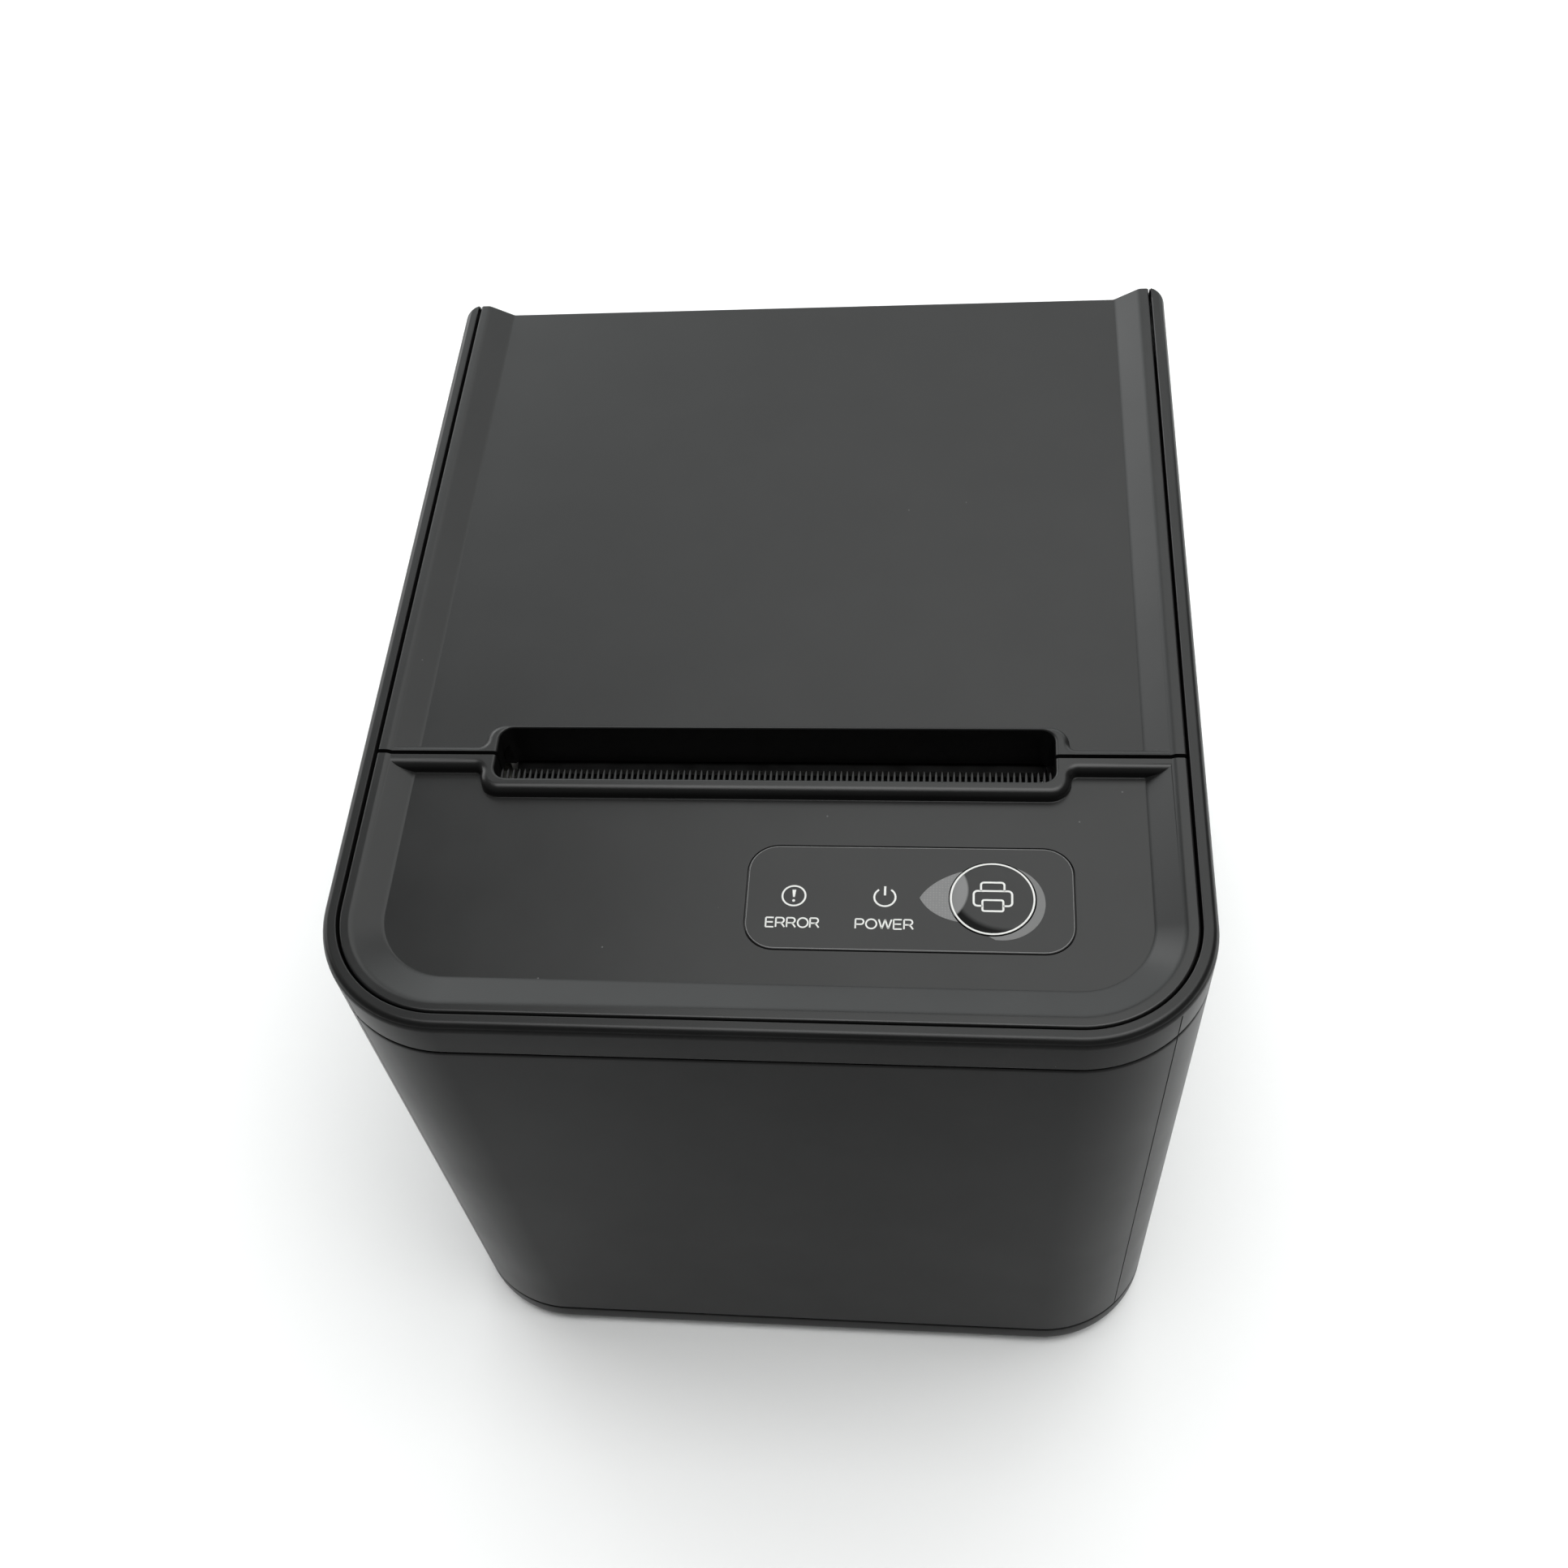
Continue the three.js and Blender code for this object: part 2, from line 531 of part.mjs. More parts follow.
function addControls() {
  const overlay = prism('z', roundedRectangle(...overlayEdges(0), CONTROL.radius - 0.3), 116.6, PANEL + 0.15, 5);
  const buttonHole = rod('z', BUTTON.radius + 0.3, 110, 120, [BUTTON.x, BUTTON.y]);
  addPiece('control_overlay', cut(overlay, [buttonHole]), GLOSSY);
  const cap = joined([
    rod('z', BUTTON.radius, 114.6, PANEL + 0.4, [0, 0]),
    rod('z', 1.6, 113.95, 115, [0, 0], 12),
  ]);
  addPiece('feed_button', cap, GLOSSY, BUTTON);
  const pipe = rod('z', LIGHTS.radius, 112.3, 116.3, [0, 0], 12);
  addPiece('error_light_pipe', pipe, CLEAR, { x: LIGHTS.error, y: LIGHTS.y });
  addPiece('power_light_pipe', pipe, CLEAR, { x: LIGHTS.power, y: LIGHTS.y });
  addPiece('panel_board', block([0, 41], [-59, -43.5], [110.4, 112]), CIRCUIT);
  addPiece('feed_switch', block([29.6, 35.6], [-54.3, -48.3], [112.1, 113.3]), INNER);
}

// ---------- platen, on the lid ----------

function addPlaten() {
  const at = [PLATEN.y, PLATEN.z];
  const gearEnd = FEED_GEAR.inner + FEED_GEAR.width;
  const shaftHole = rod('x', PLATEN.shaft + RUNNING, -60, 60, at);
  const plate = block([-42.4, 42.4], [-21.8, -9], [113.5, 114.8]);
  const ears = [-1, 1].map((side) => block(span(side, 41.2, 42.4), [-22.1, -15], [94.6, 114]));
  addPiece('platen_bracket', cut(joined([plate, ...ears]), [shaftHole]), STEEL);
  addPiece('platen_shaft', rod('x', PLATEN.shaft, -47, gearEnd + 0.6, at), STEEL);
  const rubber = rod('x', PLATEN.radius, -PAPER_WIDTH / 2, PAPER_WIDTH / 2, at, 36);
  addPiece('platen_rubber', cut(rubber, [rod('x', PLATEN.shaft + 0.02, -60, 60, at)]), RUBBER);
  const gear = gearShape({ teeth: PLATEN_TEETH, module: FEED_GEAR.module, bore: PLATEN.shaft + 0.05 });
  addPiece('platen_gear', prism('x', gear, 0, FEED_GEAR.width), NYLON, { x: FEED_GEAR.inner, ...PLATEN });
  SIDES.forEach(({ side, label }) => {
    const bush = rod('x', PLATEN.bush, ...span(side, 42.8, 46.8), at);
    addPiece(`platen_bush_${label}`, cut(bush, [shaftHole]), NYLON);
  });
  addPiece('fixed_blade', block([-40.9, 40.9], [-24, -12], [108.4, 109.6]), STEEL);
}

// ---------- paper bin ----------

function paperBin() {
  const { y, z, radius, wall, cheek, shelf } = BIN;
  const outer = radius + wall;
  const wallTop = { front: 90, rear: 94 };
  const trough = new THREE.Shape();
  trough.moveTo(y - outer, wallTop.front);
  trough.absarc(y, z, outer, Math.PI, 2 * Math.PI);
  trough.lineTo(y + outer, wallTop.rear);
  trough.lineTo(y + radius, wallTop.rear);
  trough.absarc(y, z, radius, 2 * Math.PI, Math.PI, true);
  trough.lineTo(y - radius, wallTop.front);
  const side = new THREE.Shape();
  side.moveTo(y - outer, wallTop.front);
  side.absarc(y, z, outer, Math.PI, 2 * Math.PI);
  side.lineTo(y + outer, wallTop.rear);
  side.lineTo(60, wallTop.rear);
  side.lineTo(57, shelf);
  side.lineTo(-6, shelf);
  side.lineTo(-6, wallTop.front);
  const cheeks = SIDES.map((each) => prism('x', side, ...span(each.side, cheek, cheek + 1.8), 12));
  const shelves = SIDES.map((each) => block(span(each.side, cheek + 1, 60.2), [-6, 57], [shelf - wall, shelf]));
  return joined([prism('x', trough, -cheek - 1, cheek + 1, 12), ...cheeks, ...shelves]);
}

// ---------- print mechanism ----------

function sidePlate(side) {
  const notch = PLATEN.bush + 0.5;
  const outline = polygon([
    [-66, MECH_FLOOR], [-9, MECH_FLOOR], [-9, 106], [PLATEN.y + notch, 106], [PLATEN.y + notch, PLATEN.z],
    [PLATEN.y - notch, PLATEN.z], [PLATEN.y - notch, 109], [-66, 109],
  ]);
  const x = span(side, SIDE_PLATE.inner, SIDE_PLATE.inner + SIDE_PLATE.thickness);
  const hole = (radius, { y, z }) => rod('x', radius, x[0] - 1, x[1] + 1, [y, z], 16);
  const holes = [
    rod('x', notch, x[0] - 1, x[1] + 1, [PLATEN.y, PLATEN.z]),
    hole(HEAD.shaft + RUNNING, HEAD),
    hole(LATCH.shaft + RUNNING, LATCH),
  ];
  if (side > 0) {
    holes.push(hole(1.5 + RUNNING, CUTTER_GEAR), hole(3.5, FEED_PINION), hole(2 + RUNNING, IDLER));
  }
  return cut(prism('x', outline, ...x), holes);
}

class Helix extends THREE.Curve {
  constructor(radius, turns, length) {
    super();
    Object.assign(this, { radius, turns, length });
  }

  getPoint(t) {
    const angle = t * this.turns * 2 * Math.PI;
    return new THREE.Vector3(this.radius * Math.cos(angle), t * this.length, this.radius * Math.sin(angle));
  }
}

function headSpring() {
  const wire = new THREE.Shape();
  wire.absarc(0, 0, 0.3, 0, 2 * Math.PI);
  const extrudePath = new Helix(2.3, 4, 4.2);
  return solid(new THREE.ExtrudeGeometry(wire, { steps: 34, curveSegments: 3, extrudePath, bevelEnabled: false }));
}

function addMechanism() {
  const inner = SIDE_PLATE.inner - SEAM;
  const crossFront = -38.4;
  SIDES.forEach(({ side, label }) => addPiece(`frame_side_${label}`, sidePlate(side), STEEL));
  addPiece('frame_floor', block([-inner, inner], [-66, -22], [MECH_FLOOR, MECH_FLOOR + 1.2]), STEEL);
  addPiece('frame_cross', block([-inner, inner], [crossFront, crossFront + 1.2], [83.5, 104]), STEEL);
  const shaftHole = rod('x', HEAD.shaft + RUNNING, -60, 60, [HEAD.y, HEAD.z]);
  const sink = block([-HEAD.halfWidth, HEAD.halfWidth], [HEAD.face - 5.5, HEAD.face - 1.3], [82.5, HEAD.top]);
  const fins = Array.from({ length: 9 }, (_, i) => {
    const x = -36 + i * 9;
    return block([x - 2.5, x + 2.5], [HEAD.face - 6, HEAD.face - 4.3], [89, 96]);
  });
  addPiece('heat_sink', cut(sink, [shaftHole, ...fins]), ALUMINIUM);
  addPiece('print_head', block([-HEAD.halfWidth, HEAD.halfWidth], [HEAD.face - 1.2, HEAD.face], [90, HEAD.top]), CERAMIC);
  addPiece('head_shaft', rod('x', HEAD.shaft, -47, 47, [HEAD.y, HEAD.z]), STEEL);
  SIDES.forEach(({ side, label }) => {
    addPiece(`head_spring_${label}`, headSpring(), STEEL, { x: side * 25, y: crossFront + 1.6, z: 99.5 });
  });
}

// ---------- paper feed ----------

function addFeed() {
  const width = FEED_GEAR.width;
  const plateOuter = SIDE_PLATE.inner + SIDE_PLATE.thickness;
  const motor = joined([
    rod('x', 13.5, 26, 44.6, [0, 0], 32),
    block([43.4, 44.6], [-3.5, 3.5], [-15.9, 15.9]),
  ]);
  const motorHole = rod('x', 1.6, 38, 50, [0, 0], 16);
  addPiece('feed_motor', cut(motor, [motorHole]), STEEL, FEED_PINION);
  const pinionShape = gearShape({ teeth: PINION_TEETH, module: FEED_GEAR.module });
  const pinion = joined([
    prism('x', pinionShape, FEED_GEAR.inner, FEED_GEAR.inner + width),
    rod('x', 1.4, 39, FEED_GEAR.inner + 1, [0, 0], 12),
  ]);
  addPiece('feed_pinion', pinion, NYLON, FEED_PINION, FEED_PINION_TURN);
  const idlerShape = gearShape({ teeth: IDLER_TEETH, module: FEED_GEAR.module, bore: 2 + RUNNING });
  const webCut = [-1, 1].map((side) => {
    const ring = rod('x', 11, 1.5 + side * 2 - 1.2, 1.5 + side * 2 + 1.2, [0, 0]);
    return cut(ring, [rod('x', 4, -4, 6, [0, 0], 16)]);
  });
  addPiece('idler_gear', cut(prism('x', idlerShape, 0, width), webCut), NYLON, { ...IDLER, x: FEED_GEAR.inner }, IDLER_TURN);
  const pin = joined([
    rod('x', 2, SIDE_PLATE.inner, FEED_GEAR.inner + width + 1, [0, 0], 16),
    rod('x', 3.2, FEED_GEAR.inner + width + 0.3, FEED_GEAR.inner + width + 1.2, [0, 0], 16),
    rod('x', 3.2, plateOuter + 0.1, FEED_GEAR.inner - 0.3, [0, 0], 16),
  ]);
  addPiece('idler_pin', pin, STEEL, { y: IDLER.y, z: IDLER.z });
}

// ---------- cutter ----------

function cutterBlade() {
  const pitch = Math.PI * CUTTER_GEAR.module;
  const pitchLine = CUTTER_GEAR.z + (CUTTER_GEAR.teeth * CUTTER_GEAR.module) / 2;
  const tip = pitchLine - RACK_ADDENDUM;
  const root = BLADE.bottom - 0.05;
  const slope = Math.tan(PRESSURE_ANGLE);
  const halfAtPitch = pitch / 4 - 0.05;
  const points = [];
  const firstSpace = -3;
  const spaces = 7;
  for (let space = 0; space < spaces; space += 1) {
    const y = CUTTER_GEAR.y + (firstSpace + space) * pitch + pitch / 2;
    points.push([y - halfAtPitch - (root - pitchLine) * slope, root]);
    points.push([y - halfAtPitch + (pitchLine - tip) * slope, tip]);
    points.push([y + halfAtPitch - (pitchLine - tip) * slope, tip]);
    points.push([y + halfAtPitch + (root - pitchLine) * slope, root]);
  }
  const start = points[0][0] - 0.3;
  const end = points[points.length - 1][0] + 0.3;
  const back = BLADE.bottom + 0.5;
  const rackShape = polygon([[start, back], [start, root], ...points, [end, root], [end, back]]);
  const rack = prism('x', rackShape, CUTTER_GEAR.x + 0.3, CUTTER_GEAR.x + CUTTER_GEAR.width - 0.3);
  const middle = (BLADE.bottom + BLADE.top) / 2;
  const plate = polygon([
    [-BLADE.halfWidth, BLADE.front], [BLADE.halfWidth, BLADE.front], [BLADE.halfWidth, BLADE.rear],
    [0, BLADE.rear - 1.2], [-BLADE.halfWidth, BLADE.rear],
  ]);
  const windows = [-22, 0, 22].map((x) => block([x - 7, x + 7], [-54, -40], [middle - 2, middle + 2]));
  return joined([cut(prism('z', plate, BLADE.bottom, BLADE.top), windows), rack]);
}

function bladeGuide(side) {
  const wall = BLADE.halfWidth + SEAM;
  const section = (x, z) => block(span(side, ...x), [-62, -33], z);
  return joined([
    section([wall, wall + 1.1], [105.8, 109]),
    section([wall - 3.4, wall + 1], [105.8, BLADE.bottom - 0.25]),
    section([wall - 3.4, wall + 1], [BLADE.top + 0.25, 109]),
  ]);
}

function addCutter() {
  addPiece('cutter_blade', cutterBlade(), STEEL);
  SIDES.forEach(({ side, label }) => addPiece(`blade_guide_${label}`, bladeGuide(side), STEEL));
  const small = gearShape({ teeth: CUTTER_GEAR.teeth, module: CUTTER_GEAR.module, backlash: 0.15 });
  const wheelLook = { teeth: CUTTER_WHEEL.teeth, module: CUTTER_WHEEL.module, backlash: 0.15 };
  const rackSide = new THREE.Matrix4().makeRotationZ(Math.PI / 2);
  const wheelEnd = CUTTER_WHEEL.x + CUTTER_WHEEL.width;
  const gear = joined([
    prism('x', turned(small, rackSide), CUTTER_GEAR.x, CUTTER_GEAR.x + CUTTER_GEAR.width),
    rod('x', 3, CUTTER_GEAR.x, wheelEnd, [0, 0], 16),
    rod('x', 1.5, CUTTER_GEAR.x, SIDE_PLATE.inner + 1, [0, 0], 16),
    prism('x', gearShape(wheelLook), CUTTER_WHEEL.x, wheelEnd),
  ]);
  addPiece('cutter_gear', gear, NYLON, { y: CUTTER_GEAR.y, z: CUTTER_GEAR.z });
  const motor = joined([
    rod('x', 8, 14, 38, [0, 0], 24),
    rod('x', 3, 37, 39.4, [0, 0], 16),
  ]);
  addPiece('cutter_motor', cut(motor, [rod('x', 1.1, 32, 50, [0, 0], 12)]), STEEL, CUTTER_PINION);
  const pinion = joined([
    prism('x', gearShape({ ...wheelLook, teeth: CUTTER_WHEEL.pinion }), CUTTER_WHEEL.x, wheelEnd),
    rod('x', 0.95, 33, CUTTER_WHEEL.x + 1, [0, 0], 12),
  ]);
  addPiece('cutter_pinion', pinion, NYLON, CUTTER_PINION, CUTTER_PINION_TURN);
}

// The same outline turned about its centre.
function turned(shape, matrix) {
  const points = shape.getPoints().map((point) => new THREE.Vector3(point.x, point.y, 0).applyMatrix4(matrix));
  return polygon(points.map((point) => [point.x, point.y]));
}

// ---------- lid latch ----------

function addLatch() {
  const at = [LATCH.y, LATCH.z];
  const noseY = PLATEN.y - PLATEN.bush - 0.6;
  const hookShape = polygon([
    [LATCH.y - 2.4, LATCH.z - 2.6], [LATCH.y + 2.4, LATCH.z - 2.6], [LATCH.y + 2.6, LATCH.z + 2],
    [noseY - 3, 99.5], [noseY - 0.2, 102.5], [noseY - 0.2, 104], [noseY - 3.6, 105], [LATCH.y - 2, LATCH.z + 2.4],
  ]);
  addPiece('latch_shaft', rod('x', LATCH.shaft, -46.6, 46.6, at, 16), STEEL);
  SIDES.forEach(({ side, label }) => {
    const x = span(side, LATCH.x, LATCH.x + LATCH.width);
    const hole = rod('x', LATCH.shaft + 0.02, x[0] - 1, x[1] + 1, at, 16);
    addPiece(`latch_hook_${label}`, cut(prism('x', hookShape, ...x), [hole]), STEEL);
  });
}

// ---------- electronics and rear panel ----------

const SOCKET_FLOOR = BOARD.bottom + BOARD.thickness + SEAM;
const SOCKET_FACE = 74.2;
const SOCKETS = {
  usb_socket: { x: 0, width: 12, depth: 16, height: 11, hole: [8.4, 7.8], deep: 9.5, tongue: [5.4, 2.6] },
  network_socket: { x: 20, width: 16, depth: 20, height: 13.4, hole: [11.8, 7.6], deep: 13 },
  drawer_socket: { x: 38.5, width: 13.4, depth: 16, height: 12, hole: [9.8, 6.8], deep: 11 },
};
const POWER_INLET = { x: -18, width: 14, height: 13.4, radius: 4.7 };
const SWITCH = { x: -37, halfWidth: 7.4, z: 22.5, halfHeight: 5.4, pivot: 70, tilt: THREE.MathUtils.degToRad(8) };

function socket({ width, depth, height, hole, deep, tongue }) {
  const body = block([-width / 2, width / 2], [SOCKET_FACE - depth, SOCKET_FACE], [0, height]);
  const middle = height / 2;
  const mouth = block(
    [-hole[0] / 2, hole[0] / 2],
    [SOCKET_FACE - deep, SOCKET_FACE + 1],
    [middle - hole[1] / 2, middle + hole[1] / 2],
  );
  if (!tongue) return cut(body, [mouth]);
  const blade = block(
    [-tongue[0] / 2, tongue[0] / 2],
    [SOCKET_FACE - deep - 1, SOCKET_FACE - 4.8],
    [middle - tongue[1] / 2, middle + tongue[1] / 2],
  );
  return joined([cut(body, [mouth]), blade]);
}

function powerInlet() {
  const { width, height, radius } = POWER_INLET;
  const middle = height / 2;
  const body = block([-width / 2, width / 2], [SOCKET_FACE - 15, SOCKET_FACE], [0, height]);
  const mouth = rod('y', radius, SOCKET_FACE - 9, SOCKET_FACE + 1, [0, middle]);
  const contacts = [-90, 30, 150].map((degrees) => {
    const angle = THREE.MathUtils.degToRad(degrees);
    return rod('y', 0.6, SOCKET_FACE - 10, SOCKET_FACE - 5, [2.4 * Math.cos(angle), middle + 2.4 * Math.sin(angle)], 8);
  });
  return joined([cut(body, [mouth]), ...contacts]);
}

function switchHousing() {
  const { halfWidth, halfHeight } = SWITCH;
  const body = joined([
    block([-halfWidth, halfWidth], [-9, 4.2], [-halfHeight, halfHeight]),
    block([-halfWidth - 1, halfWidth + 1], [2.8, 4.2], [-halfHeight - 1, halfHeight + 1]),
  ]);
  const well = block([-6.1, 6.1], [-3.4, 6], [-halfHeight + 1.1, halfHeight - 1.1]);
  const pivotHole = rod('z', 1.1, -halfHeight + 0.4, halfHeight - 0.4, [0, 0], 16);
  return cut(body, [well, pivotHole]);
}

// The rocker rests tilted to one side and swings through twice its tilt.
function switchRocker() {
  const { halfHeight, tilt } = SWITCH;
  const outline = polygon([[-5.2, 4], [-5.2, 1.4], [-1.8, -2.2], [1.8, -2.2], [5.2, 1.4], [5.2, 4], [0, 3.2]]);
  const turn = new THREE.Matrix4().makeRotationZ(-tilt);
  return joined([
    prism('z', turned(outline, turn), -halfHeight + 1.4, halfHeight - 1.4),
    rod('z', 1, -halfHeight + 0.7, halfHeight - 0.7, [0, 0], 12),
  ]);
}

function rearPlate() {
  const sheet = block([-48.5, 48.5], [70.8, 72.3], [10.5, 37]);
  const around = (x, width, height) =>
    block([x - width / 2 - 0.3, x + width / 2 + 0.3], [60, 80], [SOCKET_FLOOR - 0.3, SOCKET_FLOOR + height + 0.3]);
  const holes = Object.values(SOCKETS).map(({ x, width, height }) => around(x, width, height));
  holes.push(around(POWER_INLET.x, POWER_INLET.width, POWER_INLET.height));
  holes.push(block(
    [SWITCH.x - SWITCH.halfWidth - 0.3, SWITCH.x + SWITCH.halfWidth + 0.3],
    [60, 80],
    [SWITCH.z - SWITCH.halfHeight - 0.3, SWITCH.z + SWITCH.halfHeight + 0.3],
  ));
  return cut(sheet, holes);
}

// A flat cable of one strip, from under the print head down to the board.
function headCable() {
  const route = [[-27.4, 81.6], [-24.5, 72], [-18.8, 60], [-18.8, 40], [-19.5, 24], [-15, 16.4]];
  const thickness = 0.4;
  const back = [...route].reverse().map(([y, z]) => [y + thickness, z + 0.1]);
  return prism('x', polygon([...route, ...back]), -28, 4);
}

function addElectronics() {
  addPiece('main_board', block([-50, 50], [-18, 68], [BOARD.bottom, BOARD.bottom + BOARD.thickness]), CIRCUIT);
  addPiece('rear_plate', rearPlate(), STEEL);
  Object.entries(SOCKETS).forEach(([name, look]) =>
    addPiece(name, socket(look), STEEL, { x: look.x, z: SOCKET_FLOOR }));
  addPiece('power_inlet', powerInlet(), INNER, { x: POWER_INLET.x, z: SOCKET_FLOOR });
  const switchAt = { x: SWITCH.x, y: SWITCH.pivot, z: SWITCH.z };
  addPiece('switch_housing', switchHousing(), INNER, switchAt);
  addPiece('switch_rocker', switchRocker(), INNER, switchAt);
  addPiece('head_cable', headCable(), FLEX);
}

addBase();
addCovers();
addControls();
addPlaten();
addPiece('paper_bin', paperBin(), INNER);
addMechanism();
addFeed();
addCutter();
addLatch();
addElectronics();

export default printer;
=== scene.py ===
import math

import bmesh
import bpy
from mathutils import Matrix, Vector


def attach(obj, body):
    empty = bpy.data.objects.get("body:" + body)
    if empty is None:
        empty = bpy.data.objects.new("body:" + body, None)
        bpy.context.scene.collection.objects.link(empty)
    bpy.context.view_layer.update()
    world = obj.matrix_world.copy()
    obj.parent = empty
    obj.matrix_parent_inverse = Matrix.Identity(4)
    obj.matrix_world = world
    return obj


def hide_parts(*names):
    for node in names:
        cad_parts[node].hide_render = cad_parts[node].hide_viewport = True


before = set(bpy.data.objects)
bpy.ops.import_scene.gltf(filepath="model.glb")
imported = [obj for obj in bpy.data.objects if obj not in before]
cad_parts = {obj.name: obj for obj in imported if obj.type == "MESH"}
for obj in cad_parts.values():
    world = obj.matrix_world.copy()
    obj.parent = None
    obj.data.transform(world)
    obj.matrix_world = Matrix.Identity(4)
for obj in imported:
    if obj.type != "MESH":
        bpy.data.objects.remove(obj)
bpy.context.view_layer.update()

# Lengths below are in millimetres, in the CAD frame; MM turns them into Blender's metres.
MM = 0.001

# ---------- camera ----------

CAMERA_PLACE = (26.25, -185.03, 331.43)
CAMERA_RIGHT = (0.9916, 0.0818, -0.1001)
CAMERA_UP = (-0.0107, 0.8239, 0.5667)


def add_camera():
    """Looks down steeply at the printer from in front of it."""
    data = bpy.data.cameras.new("camera")
    data.sensor_width = 36
    data.lens = 40.95
    data.shift_x = 0.0434
    data.shift_y = 0.0216
    data.clip_start = 0.01
    camera = bpy.data.objects.new("camera", data)
    bpy.context.scene.collection.objects.link(camera)
    right = Vector(CAMERA_RIGHT)
    back = right.cross(Vector(CAMERA_UP)).normalized()
    up = back.cross(right)
    turn = Matrix((right, up, back)).transposed().to_4x4()
    camera.matrix_world = Matrix.Translation(Vector(CAMERA_PLACE) * MM) @ turn
    bpy.context.scene.camera = camera


add_camera()

# ---------- the printer's main sizes ----------

HALF_WIDTH = 63
HALF_DEPTH = 75
FRONT_RADIUS = 19.3
REAR_RADIUS = 3
WALL = 2.4
FLOOR_TOP = 4.4
BASE_TOP = 7.1
CASE_BOTTOM = 7.4
CASE_TOP = 111.6
FRAME_BOTTOM = 111.9
TOP = 119.5
COVER_INSET = 2.6
COVER_TOP = 119.3
COVER_BOTTOM = 113.7
LIP_TOP = 119
PANEL = 117
PARTING = (-28.15, -27.45)
HINGE = (68, 104.5)
SLOT_X = 41.75
SLOT_Y = (-32.3, -22.95)
REAR_CUT = (71.6, 76)
SKIN = 1.8
PLAN_STEPS = 24

# ---------- mesh helpers ----------


def new_object(name, points, faces):
    """A mesh object from points in millimetres."""
    mesh = bpy.data.meshes.new(name)
    mesh.from_pydata([Vector(point) * MM for point in points], [], faces)
    mesh.validate()
    thing = bpy.data.objects.new(name, mesh)
    bpy.context.scene.collection.objects.link(thing)
    return thing


def outward(thing):
    """Turns every face of a closed mesh outwards."""
    work = bmesh.new()
    work.from_mesh(thing.data)
    bmesh.ops.recalc_face_normals(work, faces=work.faces)
    work.to_mesh(thing.data)
    work.free()
    return thing


def arc(x, y, radius, start, end, steps):
    """Points on an arc; the angles are in degrees."""
    for step in range(steps + 1):
        angle = math.radians(start + (end - start) * step / steps)
        yield (x + radius * math.cos(angle), y + radius * math.sin(angle))


def circle(x, y, radius, sides=48):
    """The corners of a regular polygon that stands for a circle."""
    return list(arc(x, y, radius, 0, 360 - 360 / sides, sides - 1))


def corners(x, y, front, rear, steps=16):
    """A rectangle with one radius at its two front corners and one at its two rear corners."""
    return [
        *arc(x[0] + front, y[0] + front, front, 180, 270, steps),
        *arc(x[1] - front, y[0] + front, front, 270, 360, steps),
        *arc(x[1] - rear, y[1] - rear, rear, 0, 90, steps),
        *arc(x[0] + rear, y[1] - rear, rear, 90, 180, steps),
    ]


def loft(name, levels, axis="z"):
    """A closed solid skinned over (outline, height) levels with the same number of points."""
    place = {
        "x": lambda u, v, w: (w, u, v),
        "y": lambda u, v, w: (u, w, v),
        "z": lambda u, v, w: (u, v, w),
    }[axis]
    count = len(levels[0][0])
    points = [place(u, v, w) for outline, w in levels for u, v in outline]
    faces = [tuple(range(count)), tuple(range((len(levels) - 1) * count, len(levels) * count))]
    for level in range(len(levels) - 1):
        low = level * count
        for i in range(count):
            after = (i + 1) % count
            faces.append((low + i, low + after, low + count + after, low + count + i))
    return outward(new_object(name, points, faces))


def prism(name, outline, start, end, axis="z"):
    return loft(name, [(outline, start), (outline, end)], axis)


def span(side, near, far):
    """A range across the printer on its right side, or mirrored on its left side when side is -1."""
    return sorted((side * near, side * far))


def block(name, x, y, z):
    return prism(name, [(x[0], y[0]), (x[1], y[0]), (x[1], y[1]), (x[0], y[1])], *z)


def settle(thing):
    """Applies the modifiers to the mesh."""
    graph = bpy.context.evaluated_depsgraph_get()
    mesh = bpy.data.meshes.new_from_object(thing.evaluated_get(graph))
    thing.modifiers.clear()
    thing.data = mesh
    return thing


def combine(thing, operation, tools):
    for tool in tools:
        modifier = thing.modifiers.new(operation, "BOOLEAN")
        modifier.operation = operation
        modifier.solver = "EXACT"
        modifier.object = tool
    settle(thing)
    for tool in tools:
        bpy.data.objects.remove(tool)
    return thing


def cut(thing, *tools):
    return combine(thing, "DIFFERENCE", tools)


def joined(thing, *tools):
    return combine(thing, "UNION", tools)


def offset(points, distance, closed=True):
    """Moves a counter-clockwise outline inwards; an open line moves to its left."""
    count = len(points)
    moved = []
    for i, (x, y) in enumerate(points):
        before = points[i - 1] if closed or i else points[i]
        after = points[(i + 1) % count] if closed or i + 1 < count else points[i]
        normals = []
        for start, end in ((before, (x, y)), ((x, y), after)):
            along = Vector((end[0] - start[0], end[1] - start[1]))
            if along.length > 1e-6:
                normals.append(Vector((-along.y, along.x)).normalized())
        mean = sum(normals, Vector((0, 0))).normalized()
        stretch = distance / max(mean.dot(normals[0]), 0.3)
        moved.append((x + mean.x * stretch, y + mean.y * stretch))
    return moved


